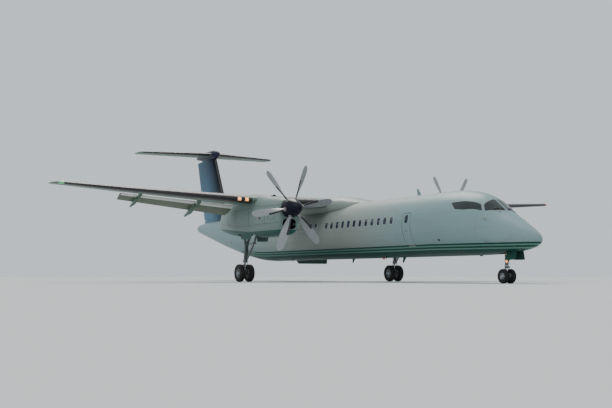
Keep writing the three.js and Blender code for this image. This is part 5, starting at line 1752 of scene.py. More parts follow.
def cowl_scoops():
    """Small scoops that face forwards on the cowl's outboard side, and one on top."""
    scoops = [pipe_end(rows, nacelle_side_point(*rows[1][:2])[1], -0.08) for rows in SIDE_SCOOPS]
    return [*scoops, pipe_end(TOP_SCOOP, ENGINE_Y, -0.12)]


# Propellers


def hub_centre(side):
    return at(PROP_STATION, side * ENGINE_Y, PROP_HUB_Z)


def blade_solid(side, thicker=0.0, nose_only=False):
    """One blade reaching to port from the hub; both propellers turn clockwise, seen from behind."""
    reach = np.unique([*np.linspace(0.12, 0.95, 24), *np.linspace(0.95, 1, 8)])
    shares = (1 - np.cos(np.pi * np.arange(13) / 12)) / 2
    if nose_only:
        reach, shares = np.linspace(0.26, 0.62, 12), shares[:5]
    rings = []
    for row in each(rows_at(BLADE, "r", reach)):
        tip = math.sqrt(max(0.02, 1 - max(0, (row["r"] - 0.955) / 0.0455) ** 2))
        chord = row["chord"] * tip
        blend = min(1, max(0, (row["r"] - 0.12) / 0.2))
        round_half = row["thick"] / 2 * np.sqrt(np.clip(1 - (2 * shares - 1) ** 2, 0, 1))
        half = (1 - blend) * round_half + blend * row["thick"] * thickness(shares) + thicker
        lead = row["chord"] / 2 - (row["chord"] - chord) * 0.6
        along_chord = lead - shares * chord + (thicker if nose_only else 0)
        upper = np.stack([along_chord, half], 1)[::-1]
        lower = np.stack([along_chord, -half], 1)
        outline = np.concatenate([upper, lower if nose_only else lower[1:]])
        angle = math.radians(row["pitch"])
        ahead = outline[:, 0] * math.sin(angle) + outline[:, 1] * math.cos(angle)
        across = outline[:, 1] * math.sin(angle) - outline[:, 0] * math.cos(angle)
        rings.append(np.stack([ahead, np.full(len(ahead), row["r"] * PROP_RADIUS), -across], 1))
    return shifted(loft(rings), hub_centre(side))


def make_propellers(paint):
    tree = wheel_tree()
    for word, side in SIDES.items():
        body, centre = f"{word}_propeller", hub_centre(side)
        inputs = {
            "Count": BLADE_COUNT, "Centre": tuple(centre), "Axis": (1.0, 0.0, 0.0),
            "First angle": math.radians(BLADE_PHASE[word]),
        }
        boot = blade_solid(side, 0.0025, nose_only=True)
        collar = lathe(COLLAR, centre + (0, COLLAR_START, 0), (0, 1, 0), 32, True)
        for name, solid, material, replaced in (
            ("propeller_blades", blade_solid(side), paint.blade_paint, [f"propeller_{word}"]),
            ("blade_boots", boot, paint.boot_rubber, []),
            ("blade_collars", collar, paint.bare_metal, []),
        ):
            inputs["Material"] = material
            one = mesh_of(name, solid)
            grown(f"{name}_{word}", body, "blade_composite", tree, one, inputs, replaced)
        parts = spinner_parts(paint, centre)
        piece(f"spinner_shell_{word}", body, parts, "spinner_paint", [f"spinner_{word}"])


def spinner_parts(paint, centre):
    profile = np.array(SPINNER)
    share = np.concatenate([[0], np.cumsum(np.hypot(*np.diff(profile, axis=0).T))])
    steps = np.linspace(0, share[-1], 40)
    curve = np.stack([smooth(share, profile[:, k], steps) for k in range(2)], 1)
    curve[0, 0] = 0
    cone = lathe([*curve[:-1], *SPINNER_RIM], centre, (1, 0, 0), 96)
    ring = lathe(SPINNER_RING, centre, (1, 0, 0), 96, True)
    return [(cone, paint.spinner_paint), (ring, paint.bare_metal)]


# Tail


def make_tail(paint):
    foot = RUDDER["z0"] - 2 * SWING
    cove = {"end": RUDDER_HINGE - 0.014, "cove": RUDDER_HINGE}
    parts = painted(paint.tail_paint, fin_part(FIN["z"][0], foot), fin_part(foot, FIN_TOP, **cove))
    z0, z1, share = BOOTS["fin"]
    parts += painted(paint.boot_rubber, nose_shell(fin_rows(z0, z1), fin_ring, share, False))
    piece("fin_skin", "airframe", parts, "tail_paint", ["fin"])
    aft = {"start": RUDDER_TAB_HINGE, "nose": RUDDER_TAB_HINGE}
    fore = {"start": RUDDER_HINGE, "nose": RUDDER_HINGE}
    fore.update({"end": RUDDER_TAB_HINGE - 0.011, "cove": RUDDER_TAB_HINGE})
    for name, shape in (("fore", fore), ("aft", aft)):
        parts = painted(paint.tail_paint, fin_part(RUDDER["z0"], RUDDER["z1"], **shape))
        piece(f"rudder_{name}_skin", f"{name}_rudder", parts, "tail_paint", [f"rudder_{name}"])
    make_tailplane(paint)
    bullet = body_loft(rows_at(BULLET, "s", np.linspace(BULLET["s"][0], BULLET["s"][-1], 48)), sides=56)
    piece("tail_bullet_skin", "airframe", [(bullet, paint.bullet_paint)], "tail_paint", ["tail_bullet"])


def make_tailplane(paint):
    y0, y1 = ELEVATOR["y0"], ELEVATOR["y1"]
    start, end, share = BOOTS["tailplane"]
    boot = nose_shell(wing_rows(TAILPLANE, np.linspace(start, end, 12)), wing_ring, share, False)
    parts = painted(
        paint.wing_paint,
        wing_part(TAILPLANE, 0, y0 - SWING),
        wing_part(TAILPLANE, y0 - SWING, y1 + SWING, end=ELEVATOR_HINGE - 0.022, cove=ELEVATOR_HINGE),
        wing_part(TAILPLANE, y1 + SWING, TAILPLANE["y"][-1]),
    )
    parts += painted(paint.boot_rubber, boot)
    parts = mirrored(parts, 1) + mirrored(parts, -1)
    piece("tailplane_skin", "airframe", parts, "wing_paint", ["tailplane"])
    skin = wing_part(TAILPLANE, y0, y1, start=ELEVATOR_HINGE, nose=ELEVATOR_HINGE)
    pair("elevator_skin_{}", "{}_elevator", [(skin, paint.wing_paint)], "wing_paint", ["elevator_{}"])


# Landing gear


def tyre_profile(radius, wheel):
    """Half the section of a tyre with rounded shoulders and four grooves, mirrored to a closed loop."""
    half, rim = wheel["width"] / 2, wheel["rim"]
    side = [(rim - 0.004, 0.7 * half), (rim + 0.012, 0.78 * half), (rim + 0.3 * (radius - rim), 0.93 * half)]
    side += [(rim + 0.6 * (radius - rim), half), (rim + 0.82 * (radius - rim), 0.95 * half)]
    side += [(radius - 0.018, 0.8 * half), (radius - 0.004, 0.66 * half)]
    for middle in (0.45, 0.15):
        side += [(radius, (middle + 0.06) * half), (radius - 0.009, (middle + 0.04) * half)]
        side += [(radius - 0.009, (middle - 0.04) * half), (radius, (middle - 0.06) * half)]
    return side + [(r, -h) for r, h in side[::-1]]


def rim_profile(wheel):
    rim, half = wheel["rim"], 0.375 * wheel["width"]
    deep, hub = 0.3 * half, wheel["axle"] + 0.03
    face = [(rim - 0.004, half), (rim - 0.016, half + 0.006), (rim - 0.03, half - 0.01), (rim - 0.05, deep)]
    face += [(hub + 0.02, deep + 0.012), (hub, half), (0, half + 0.012)]
    return [(r, -h) for r, h in face[::-1]] + face


def tyre_solid(radius, wheel, centre, side):
    middle = centre + (0, side * wheel["offset"], 0)
    return lathe(tyre_profile(radius, wheel), middle, (0, 1, 0), 96, closed=True)


def rim_solid(wheel, centre, side):
    """A wheel with a ring of cooling holes."""
    middle = centre + (0, side * wheel["offset"], 0)
    ring = 0.5 * (wheel["rim"] + wheel["axle"])
    holes = []
    for turn in 2 * np.pi * np.arange(COOLING_HOLES) / COOLING_HOLES:
        spot = middle + (ring * math.cos(turn), 0, ring * math.sin(turn))
        holes.append(pin(spot, wheel["width"], 0.09 * wheel["rim"], 16, 0))
    return cut(lathe(rim_profile(wheel), middle, (0, 1, 0), 72), joined(*holes))


def main_axle():
    return at(MAIN_AXLE_STATION, ENGINE_Y, MAIN_TYRE_RADIUS)


def nose_axle():
    return at(NOSE_AXLE_STATION, 0, NOSE_TYRE_RADIUS)


def wheel_sets():
    """Pairs of wheels: name, body, tyre radius, wheel, centre, the wheels' node, and each tyre's and side."""
    tyres = {"nose_tyre_port": 1, "nose_tyre_starboard": -1}
    sets = [("nose", "nose_wheel_pair", NOSE_TYRE_RADIUS, NOSE_WHEEL, nose_axle(), "nose_wheels", tyres)]
    for word, side in SIDES.items():
        names = (f"main_{word}", f"{word}_wheel_pair")
        centre = main_axle() * (1, side, 1)
        tyres = {f"main_tyre_outer_{word}": side, f"main_tyre_inner_{word}": -side}
        sets.append((*names, MAIN_TYRE_RADIUS, MAIN_WHEEL, centre, f"main_wheels_{word}", tyres))
    return sets


def make_wheels(paint):
    tree = wheel_tree()
    for name, body, radius, wheel, centre, replaced, tyres in wheel_sets():
        for node_name, side in tyres.items():
            parts = [(tyre_solid(radius, wheel, centre, side), paint.tyre_rubber)]
            piece(node_name + "_casing", body, parts, "tyre", [node_name], 50)
        rims = joined(*(rim_solid(wheel, centre, side) for side in SIDES.values()))
        sleeve = pin(centre, wheel["offset"], wheel["axle"] - 0.004, 32, 0)
        parts = [(rims, paint.alloy), (sleeve, paint.bare_metal)]
        piece(f"{name}_rims", body, parts, "wheel_alloy", [replaced])
        for word, side in SIDES.items():
            face = centre + (0, side * (wheel["offset"] + 0.375 * wheel["width"] - 0.004), 0)
            start = face + (wheel["rim"] - 0.022, 0, 0)
            bolt = mesh_of("bolt", rod(start, start + (0, side * 0.014, 0), 0.009, 0.007, sides=6))
            inputs = {"Count": WHEEL_BOLTS, "Centre": tuple(face), "Axis": (0.0, 1.0, 0.0)}
            inputs.update({"First angle": 0.2, "Material": paint.chrome})
            grown(f"{name}_bolts_{word}", body, "wheel_alloy", tree, bolt, inputs)


def ring_block(centre, axis, inner, outer, half):
    profile = (
        (inner, -half), (outer - 0.004, -half), (outer, -half + 0.004), (outer, half - 0.004),
        (outer - 0.004, half), (inner, half),
    )
    return lathe(profile, centre, axis, 40, closed=True)


def main_leg_point(share, dx=0.0, dy=0.0):
    axle, top = main_axle(), at(MAIN_LEG_TOP_STATION, ENGINE_Y, BAY_TOP)
    return axle + (top - axle) * share + (dx, dy, 0)


def fork_head(across):
    """A point on the cross tube in the bay that the fork hangs on."""
    return at(MAIN_LEG_TOP_STATION, ENGINE_Y + across, BAY_TOP - FORK["drop"])


def make_main_gear(paint):
    pair("main_leg_forging_{}", "airframe", main_leg_parts(paint), "gear_steel", ["main_leg_{}"])
    brace = main_brace_parts(paint)
    pair("main_drag_brace_links_{}", "airframe", brace, "gear_steel", ["main_drag_brace_{}"])
    door = door_parts(paint, INBOARD_DOOR, ENGINE_Y - WHEEL_BAY["half"] + 0.001, 1)
    pair("main_gear_door_shell_{}", "airframe", door, "upper_paint", ["main_gear_door_{}"])
    pair("wheel_bay_fittings_{}", "airframe", bay_fittings(paint), "gear_steel")


def main_leg_parts(paint):
    """The piston, the axle housing, the cylinder, the torque link, and a fork on a cross tube in the bay."""
    p, link = main_leg_point, LEG["link"]
    way = p(1) - p(0)
    foot, low, high, top = (p(*point) for point in TORQUE_LINK)
    parts = painted(
        paint.gear_paint,
        rod(p(0.26), p(0.62), LEG["cylinder"], LEG["cylinder"] + 0.004, 40, edge=0.006),
        *(ring_block(p(share), way, *sizes) for share, *sizes in PAINTED_COLLARS),
        lathe(MAIN_HOUSING, main_axle(), (0, 1, 0), 40, True),
        pin(fork_head(0), FORK["tube_half"], FORK["tube"], 40, 0.008),
        tube([foot, low], [link + 0.004, link], 16, False),
        tube([low, high], link, 16, False),
        tube([high, top], [link, link + 0.004], 16, False),
        pin(p(0.74), 0.11, 0.03, 24, 0),
    )
    parts += painted(
        paint.bare_metal,
        *(ring_block(p(share), way, *sizes) for share, *sizes in BARE_COLLARS),
        pin(p(0.17, -0.155), 0.05, 0.022),
        pin(p(0.28, -0.075), 0.06, 0.022),
    )
    for side in (-1, 1):
        parts += fork_parts(paint, side)
    return parts + painted(paint.chrome, rod(p(0.05), p(0.3), LEG["piston"], sides=40))


def fork_parts(paint, side):
    """One arm of the fork, a bracket and a ring on its cross tube, a ring on the axle, and a brake hose."""
    axle, p = main_axle(), main_leg_point
    arm = [p(0.54, dy=side * 0.02), p(0.64, dy=side * 0.075), fork_head(side * FORK["half"])]
    hose = [p(0.56, 0.1, side * 0.04), p(0.4, 0.115, side * 0.05), p(0.2, 0.1, side * 0.07)]
    x, y = fork_head(0)[0], ENGINE_Y + side * 0.33
    bracket = block((x - 0.09, x + 0.09), (y - 0.038, y + 0.038), (BAY_TOP - 0.13, BAY_TOP), 0.012)
    parts = painted(paint.gear_paint, tube(arm, [0.07, 0.064, 0.062], 28, steps=5), bracket)
    parts += painted(
        paint.bare_metal,
        ring_block(fork_head(side * 0.2), (0, 1, 0), 0.05, 0.072, 0.012),
        ring_block(axle + (0, side * 0.115, 0), (0, 1, 0), 0.064, 0.135, 0.012),
    )
    return parts + painted(paint.hose_rubber, tube([*hose, axle + (0.1, side * 0.1, 0.05)], 0.011, 10))


def main_brace_parts(paint):
    """The drag brace, from a collar low on the leg over its knee to the front of the bay, and its lock."""
    collar = main_leg_point(BRACE["collar"])
    low, knee = collar + (0.118, 0, 0), at(BRACE["knee"][0], ENGINE_Y, BRACE["knee"][1])
    top = at(BRACE["top"], ENGINE_Y, BAY_TOP - 0.09)
    solids = [rod(low, knee, 0.036, 0.044, 24), rod(knee, top, 0.05, 0.042, 24)]
    solids.append(pin(top, 0.3, 0.046, 28, 0.006))
    solids.append(ring_block(collar, main_leg_point(1) - main_leg_point(0), 0.1, 0.124, 0.03))
    for side in (-1, 1):
        y = ENGINE_Y + side * 0.23
        solids.append(block((top[0] - 0.06, top[0] + 0.06), (y - 0.03, y + 0.03), (top[2], BAY_TOP), 0.008))
        lock = [knee + (0, side * 0.07, 0.02), main_leg_point(0.6, 0.08, side * 0.07)]
        solids.append(tube(lock, 0.014, 12, False))
    pins = (pin(low - (0.006, 0, 0), 0.075, 0.038, 28, 0.006), pin(knee, 0.085, 0.055, 28, 0.006))
    return painted(paint.gear_paint, *solids) + painted(paint.bare_metal, *pins)


def thin_bar(station, across, up, edge):
    """A bar across the aircraft, 40 mm wide."""
    return block((along(station + 0.02), along(station - 0.02)), across, up, edge)


def door_parts(paint, door, wall, inward):
    """A plate that hangs open beside the wheel bay, from wall to port, with ribs on the wheels' side."""
    s0, s1, top, bottom, thick = door.values()
    corners = [(s0, top), (s0 + 0.09, bottom), (s1 - 0.06, bottom + 0.03), (s1, top)]
    face = wall + thick - 0.01 if inward > 0 else wall + 0.01
    across = (wall, face) if inward > 0 else (face, wall + thick)
    plate = bevelled(prism(corner_rounded(side_view(corners), 0.05, 4), "y", *across), 0.006)
    across, up = sorted((face, face + inward * 0.01)), (bottom + 0.06, top - 0.04)
    ribs = [thin_bar(s, across, up, 0.004) for s in np.linspace(s0 + 0.2, s1 - 0.2, 6)]
    return painted(paint.nacelle_paint, plate) + painted(paint.gear_paint, *ribs)


def bay_fittings(paint):
    """Frames and pipes in the roof of the wheel bay."""
    roof, half = WHEEL_BAY["roof"], WHEEL_BAY["half"]
    across, up = (ENGINE_Y - half, ENGINE_Y + half), (roof - 0.06, roof)
    stations = np.linspace(WHEEL_BAY["s0"] + 0.2, WHEEL_BAY["s1"] - 0.15, 6)
    # The frames take the near-black primer: painted shade in the roof of the bay
    parts = painted(paint.dark_primer, *(thin_bar(s, across, up, 0.006) for s in stations))
    for k, y in enumerate(BAY_PIPES):
        path = []
        for s in np.linspace(14.05, 15.4, 7):
            path.append(at(s, ENGINE_Y + y + 0.012 * math.sin(3 * s + k), roof - 0.09))
        parts.append((tube(path, 0.012, 10, steps=3), paint.bare_metal if k % 2 else paint.hose_rubber))
    return parts


def nose_leg_point(dx, dy, dz):
    return nose_axle() + (dx, dy, dz)


def make_nose_gear(paint):
    piece("nose_leg_cylinder", "airframe", nose_leg_parts(paint), "gear_steel", ["nose_leg"])
    lower = nose_steering_parts(paint)
    piece("nose_steering_collar", "nose_steering", lower, "gear_steel", ["nose_steering_leg"])
    doors = nose_door_parts(paint)
    pair("nose_gear_door_shell_{}", "airframe", doors, "belly_paint", ["nose_gear_door_{}"])


def nose_leg_parts(paint):
    """The cylinder with its cross beam, the drag strut with its own, and the lamps."""
    p, x, roof = nose_leg_point, nose_axle()[0], NOSE_BAY["roof"]
    up = (roof - 0.121, roof - 0.001)
    parts = painted(
        paint.gear_paint,
        rod(p(0, 0, 0.4), (x, 0, roof - 0.02), 0.07, 0.078, 40),
        block((x - 0.11, x + 0.11), (-0.195, 0.195), up, 0.015),
        rod(p(0.04, 0, 0.52), at(1.26, 0, roof - 0.06), 0.03, 0.034, 24),
        block((along(1.32), along(1.2)), (-0.12, 0.12), up, 0.012),
    )
    parts += painted(
        paint.bare_metal,
        ring_block(p(0, 0, 0.42), (0, 0, 1), 0.05, 0.082, 0.018),
        pin(p(0.05, 0, 0.5), 0.09, 0.024),
    )
    for glow, (z, radius) in NOSE_LAMPS.items():
        spot = np.array((x + 0.13, -0.115, z))
        parts += painted(paint.bare_metal, rod((x + 0.03, -0.03, z), spot - (0.02, 0, 0), 0.018, sides=12))
        parts += lamp_parts(paint.gear_paint, getattr(paint, glow), spot, (1, 0, 0), radius)
    return parts


def nose_steering_parts(paint):
    """The piston and its collar, the axle housing, the torque link and the lug for a tow bar."""
    p, (x, _, z) = nose_leg_point, nose_axle()
    parts = painted(paint.chrome, rod(p(0, 0, 0.05), p(0, 0, 0.393), 0.048, sides=40))
    parts += painted(
        paint.gear_paint,
        rod(p(0, 0, 0.3), p(0, 0, 0.392), 0.085, sides=40, edge=0.006),
        block((x + 0.06, x + 0.11), (-0.07, 0.07), (z + 0.305, z + 0.385), 0.008),
        lathe(NOSE_HOUSING, nose_axle(), (0, 1, 0), 40, True),
        tube([p(-0.04, 0, 0.03), p(-0.13, 0, 0.16)], 0.02, 14, False),
        tube([p(-0.13, 0, 0.16), p(-0.07, 0, 0.33)], 0.02, 14, False),
    )
    return parts + painted(
        paint.bare_metal,
        block((x, x + 0.125), (-0.045, 0.045), (z - 0.028, z + 0.028), 0.006),
        pin(p(-0.13, 0, 0.16), 0.04, 0.018, 18, 0.002),
    )


def nose_door_parts(paint):
    s0, s1, bottom, thick, slope = NOSE_DOOR.values()
    y, top = NOSE_BAY["half"] - 0.045, NOSE_BAY["roof"] - 0.26
    outline = ((y, top), (y - thick, top), (y + slope - thick, bottom), (y + slope, bottom))
    panel = bevelled(prism(outline, "x", along(s1), along(s0 + 0.025)), 0.006)
    across, up = (y - thick, NOSE_BAY["half"]), (top - 0.04, top - 0.002)
    arms = [thin_bar(s, across, up, 0.006) for s in (s0 + 0.13, s1 - 0.13)]
    return painted(paint.body_paint, panel) + painted(paint.gear_paint, *arms)


# Trim


def make_strake(paint):
    y, half = STRAKE["y"], STRAKE["thick"] / 2
    plate = bevelled(prism(side_view(STRAKE["corners"]), "y", y - half, y + half), 0.02, 3)
    piece("belly_strake_plate", "airframe", [(plate, paint.body_paint)], "belly_paint", ["belly_strake"])


def lamp_parts(housing, glow, centre, way, radius):
    """A round lamp in its housing, facing along way."""
    shell = ((0, -1.1), (0.5, -1.05), (0.95, -0.4), (1, 0), (0.9, 0.02), (0.86, -0.1), (0, -0.1))
    lens = ((0, 0.06), (0.5, 0.04), (0.85, -0.06), (0.85, -0.12), (0, -0.12))
    solids = [lathe(radius * np.array(profile), centre, way, 32) for profile in (shell, lens)]
    return list(zip(solids, (housing, glow)))


def make_lamps(paint):
    """The red and green lamps at the wingtips, the white one at the tail and the two beacons."""
    tip = nose_shell(wing_rows(WING, np.linspace(13.78, 13.98, 6)), wing_ring, 0.09, True, 0.005, 0.002)
    for word, glow in (("port", paint.red_lamp), ("starboard", paint.green_lamp)):
        piece(f"wingtip_lamp_{word}", "airframe", [(on_side(tip, SIDES[word]), glow)], "cockpit_glass")
    beacons = [lathe(BEACON_DOME, at(*spot), way, 32) for spot, way in BEACONS]
    spot, way, size = TAIL_LAMP
    tail = lathe(size * np.array(BEACON_DOME), at(*spot), way, 32)
    parts = painted(paint.red_lamp, *beacons) + painted(paint.clear_lamp, tail)
    piece("beacon_lamps", "airframe", parts, "cockpit_glass")


def aerial_blades():
    blades = []
    for s, y, z, tall, chord in AERIALS:
        swept = 0.3 * abs(tall)
        outline = ((0, 0), (chord, 0), (0.9 * chord + swept, tall), (0.5 * chord + swept, tall))
        outline = side_view([(s + a, z + b) for a, b in outline])
        blades.append(bevelled(prism(outline, "y", y - 0.012, y + 0.012), 0.007))
    return blades


def probes():
    """Bent tubes on round bases, on both sides of the nose."""
    solids = []
    for station, height in PROBES:
        foot, end = skin_point(station, height, -0.01), skin_point(station, height, 0.075)
        stem = tube([foot, end, end + (0.05, 0.006, 0), end + (0.17, 0.01, 0)], 0.011, 12)
        base = lathe(((0, -0.004), (0.03, -0.002), (0.034, 0.004), (0, 0.006)), foot, end - foot, 24)
        base = shifted(base, (end - foot) * 0.13)
        solids += [on_side(solid, side) for side in SIDES.values() for solid in (stem, base)]
    return solids


def make_aerials(paint):
    skid = fairing_body(side_view(TAIL_SKID), 0, 0.05)
    vents = [on_side(patch(rounded_box(*box, 0.02), -0.002, 0.01), -1) for box in SKIN_VENTS]
    parts = painted(paint.body_paint, *aerial_blades()) + painted(paint.bare_metal, *probes())
    parts += painted(paint.hose_rubber, skid, *vents, *wipers())
    piece("aerials_and_probes", "airframe", parts, "upper_paint")


def wipers():
    """An arm and a blade that lie along the foot of each windscreen."""
    solids = []
    for path, radius in ((WIPER["arm"], 0.009), (WIPER["blade"], 0.012)):
        points = [on_fuselage(s, math.radians(turn), -0.02) for s, turn in path]
        solids += [on_side(tube(points, radius, 8), side) for side in SIDES.values()]
    return solids


def rear_edge(rows):
    """A point just ahead of the rear edge of each section, as station, y and z."""
    return [(row["s"] + row["chord"] - 0.02, row.get("y", 0), row["z"]) for row in each(rows)]


def make_wicks(paint):
    """Thin wicks that lead static charge off the rear edges, one row on each body."""
    wick = rod((0, 0, 0), (-WICK_LENGTH, 0, 0), 0.005, 0.002, 6)
    spots = {"aft_rudder": rear_edge(rows_at(FIN, "z", RUDDER_WICKS, False))}
    for name, rows, places in (("aileron", WING, AILERON_WICKS), ("elevator", TAILPLANE, ELEVATOR_WICKS)):
        port = rear_edge(wing_rows(rows, np.array(places)))
        for word, side in SIDES.items():
            spots[f"{word}_{name}"] = [(s, side * y, z) for s, y, z in port]
    tree = row_tree()
    for body, row in spots.items():
        places = [at(*spot) for spot in row]
        in_row(f"static_wicks_{body}", body, "gear_steel", tree, wick, places, paint.hose_rubber)


def make_fasteners(paint):
    """Round heads along the joints of the fuselage and the nacelles."""
    turn = 2 * np.pi * np.arange(96) / 96
    seams = [on_fuselage(np.full(96, s), turn) for s in (RADOME_END + 0.03, TAIL_CONE_START - 0.03)]
    for side, *limits in (*DOORS.values(), (1, *AIRSTAIR.values())):
        outline = spread_outline(rounded_box(*limits), 0.04)
        seams.append(on_fuselage(outline[:, 0], outline[:, 1]) * (1, side, 1))
    tree = fastener_tree()

    def fastened(name, skin, lines):
        inputs = {"Skin": bpy.data.objects[skin], "Material": paint.alloy, "Spacing": 0.08, "Radius": 0.007}
        grown(name, "airframe", "gear_steel", tree, seams_mesh("seams", lines), inputs)

    fastened("fuselage_fasteners", "fuselage_skin", seams)
    for word, side in SIDES.items():
        for name, stations in (("engine_cowl_skin", COWL_ROWS), ("nacelle_skin", NACELLE_ROWS)):
            rows = each(rows_at(NACELLE, "s", stations))
            rings = [nacelle_ring(row) * (1, side, 1) for row in rows]
            fastened(f"{name}_fasteners_{word}", f"{name}_{word}", rings)


def finish_engines(paint):
    """The engines stay as they are in the frame, with a metal finish."""
    for word in SIDES:
        block_object = bpy.data.objects[f"engine_block_{word}"]
        for slot in block_object.material_slots:
            slot.material = paint.bare_metal


# Stage


def floor_material():
    material = bpy.data.materials.new("pale_floor")
    material.use_nodes = True
    tree = material.node_tree
    shader = tree.nodes["Principled BSDF"]
    tone = mixed(tree, noise(tree, 0.4, 2), (0.5, 0.52, 0.53, 1), (0.51, 0.53, 0.54, 1))
    tree.links.new(tone, shader.inputs["Base Color"])
    shader.inputs["Roughness"].default_value = 0.9
    shader.inputs["Specular IOR Level"].default_value = 0.05
    return material


def make_stage(view):
    radius = view.floor_radius
    disc = lathe(((0, -0.2), (radius, -0.2), (radius, 0), (0, 0)), (0, 0, 0), (0, 0, 1), 96)
    ground = linked("floor", mesh_of("floor", disc))
    ground.data.materials.append(floor_material())
    world = bpy.data.worlds.new("studio")
    bpy.context.scene.world = world
    world.use_nodes = True
    surround = world.node_tree.nodes["Background"].inputs
    surround["Color"].default_value = (*view.background, 1)
    surround["Strength"].default_value = view.background_strength
    make_camera(view)
    for settings in STUDIO_LIGHTS:
        make_light(*settings)


def make_light(name, azimuth, elevation, spread, power, colour):
    light = bpy.data.lights.new(name, "SUN")
    light.angle, light.energy, light.color = math.radians(spread), power, colour
    lamp = linked(name, light)
    turn, up = math.radians(azimuth), math.radians(elevation)
    way = Vector((math.cos(turn) * math.cos(up), math.sin(turn) * math.cos(up), math.sin(up)))
    lamp.location = way * LIGHT_DISTANCE
    lamp.rotation_euler = (-way).to_track_quat("-Z", "Y").to_euler()


def make_camera(view):
    lens = bpy.data.cameras.new("camera")
    lens.lens, lens.sensor_width = view.lens, 36
    lens.clip_end = 500
    camera = linked("camera", lens)
    target = Vector(view.target)
    way = Vector((math.cos(view.azimuth), math.sin(view.azimuth), 0))
    camera.location = Vector((target.x, target.y, 0)) + way * view.distance + Vector((0, 0, view.height))
    camera.rotation_euler = (target - camera.location).to_track_quat("-Z", "Y").to_euler()
    bpy.context.scene.camera = camera


LIGHT_DISTANCE = 60
# Broad lamps, far off so that the floor is lit evenly:
# name, azimuth, elevation and spread in degrees, strength, colour
STUDIO_LIGHTS = (
    ("back_light", 160, 50, 30, 2.6, (1.0, 0.95, 0.88)),
    ("side_light", -75, 45, 35, 0.7, (1.0, 0.98, 0.95)),
    ("fill_light", 10, 15, 40, 0.2, (0.9, 0.95, 1.0)),
)


# Settings, operators and panel


def colour_property(name, default):
    return bpy.props.FloatVectorProperty(
        name=name, description=f"Colour of the {name.lower()}", subtype="COLOR", size=3, min=0, max=1,
        default=default,
    )


def length_property(name, description, default, least):
    return bpy.props.FloatProperty(
        name=name, description=description, default=default, min=least, subtype="DISTANCE", unit="LENGTH"
    )


class LiverySettings(bpy.types.PropertyGroup):
    """Colours of the paint."""

    # The upper fuselage colours are the white paint darkened to painted shade
    upper: colour_property("Upper fuselage", (0.265, 0.305, 0.28))
    # The cooler colour of the nose and tail is a painted cool reflection on the shaded white paint
    upper_ends: colour_property("Nose and tail of the upper fuselage", (0.195, 0.29, 0.3))
    stripe: colour_property("Stripes", (0.003, 0.045, 0.035))
    between: colour_property("Gap between the stripes", (0.11, 0.26, 0.21))
    belly: colour_property("Belly", (0.004, 0.06, 0.045))
    # The nacelle sides are the white paint darkened further to painted shade
    nacelle: colour_property("Nacelle sides", (0.17, 0.235, 0.218))
    nacelle_belly: colour_property("Nacelle undersides", (0.02, 0.09, 0.075))
    wing: colour_property("Wing", (0.13, 0.2, 0.165))
    flap: colour_property("Flaps", (0.075, 0.105, 0.062))
    tail: colour_property("Fin and rudder", (0.02, 0.085, 0.16))
    tail_foot: colour_property("Foot of the fin", (0.045, 0.15, 0.235))
    tail_edge: colour_property("Front of the fin", (0.004, 0.007, 0.02))
    bullet: colour_property("Tail bullet", (0.01, 0.01, 0.035))
    spinner: colour_property("Spinners", (0.006, 0.006, 0.016))


class ViewSettings(bpy.types.PropertyGroup):
    """Camera and stage."""

    azimuth: bpy.props.FloatProperty(
        name="Azimuth", description="Camera direction from the nose, to port",
        default=math.radians(-29), subtype="ANGLE",
    )
    distance: length_property("Distance", "Camera to aircraft", 50, 20)
    height: length_property("Height", "Camera above the floor", 0.3, 0.05)
    lens: bpy.props.FloatProperty(name="Lens", description="Focal length in millimetres", default=57, min=10)
    target: bpy.props.FloatVectorProperty(
        name="Target", description="Where the camera looks",
        default=(-0.33, -0.59, 4), subtype="XYZ", unit="LENGTH",
    )
    floor_radius: length_property("Floor radius", "Radius of the pale floor", 220, 30)
    background: colour_property("Background", (0.72, 0.79, 0.83))
    background_strength: bpy.props.FloatProperty(
        name="Background strength", description="Light from the pale surroundings", default=1.0, min=0
    )


PAINT = []


def paint_of(context):
    """The materials, made with the livery's colours when the first piece asks for them."""
    if not PAINT:
        PAINT.append(Finishes(context.scene.airliner_livery))
    return PAINT[0]


class AIRLINER_OT_stage(bpy.types.Operator):
    """Makes the floor, the soft lights and the camera"""

    bl_idname = "airliner.stage"
    bl_label = "Stage"

    def execute(self, context):
        make_stage(context.scene.airliner_view)
        return {"FINISHED"}


class AIRLINER_OT_fuselage(bpy.types.Operator):
    """Makes the fuselage skin, radome, tail cone and fairings"""

    bl_idname = "airliner.fuselage"
    bl_label = "Fuselage"

    def execute(self, context):
        make_fuselage(paint_of(context))
        return {"FINISHED"}


class AIRLINER_OT_doors(bpy.types.Operator):
    """Makes the exits, the service door and the boarding door with its steps"""

    bl_idname = "airliner.doors"
    bl_label = "Doors"

    def execute(self, context):
        for make in (make_doors, make_airstair):
            make(paint_of(context))
        return {"FINISHED"}


class AIRLINER_OT_glass(bpy.types.Operator):
    """Makes the windscreens and all windows"""

    bl_idname = "airliner.glass"
    bl_label = "Glass"

    def execute(self, context):
        for make in (make_cockpit_glass, make_cabin_windows):
            make(paint_of(context))
        return {"FINISHED"}


class AIRLINER_OT_wing(bpy.types.Operator):
    """Makes the fixed wing with its boots, lamps and fairings"""

    bl_idname = "airliner.wing"
    bl_label = "Wing"

    def execute(self, context):
        make_wing(paint_of(context))
        return {"FINISHED"}


class AIRLINER_OT_flaps(bpy.types.Operator):
    """Makes the ailerons, and the flaps lowered to their rest angle"""

    bl_idname = "airliner.flaps"
    bl_label = "Flaps and ailerons"

    def execute(self, context):
        for make in (make_flaps, make_ailerons):
            make(paint_of(context))
        return {"FINISHED"}


class AIRLINER_OT_nacelles(bpy.types.Operator):
    """Makes the cowls and nacelles, and gives the engines their finish"""

    bl_idname = "airliner.nacelles"
    bl_label = "Nacelles"

    def execute(self, context):
        for make in (make_nacelles, finish_engines):
            make(paint_of(context))
        return {"FINISHED"}


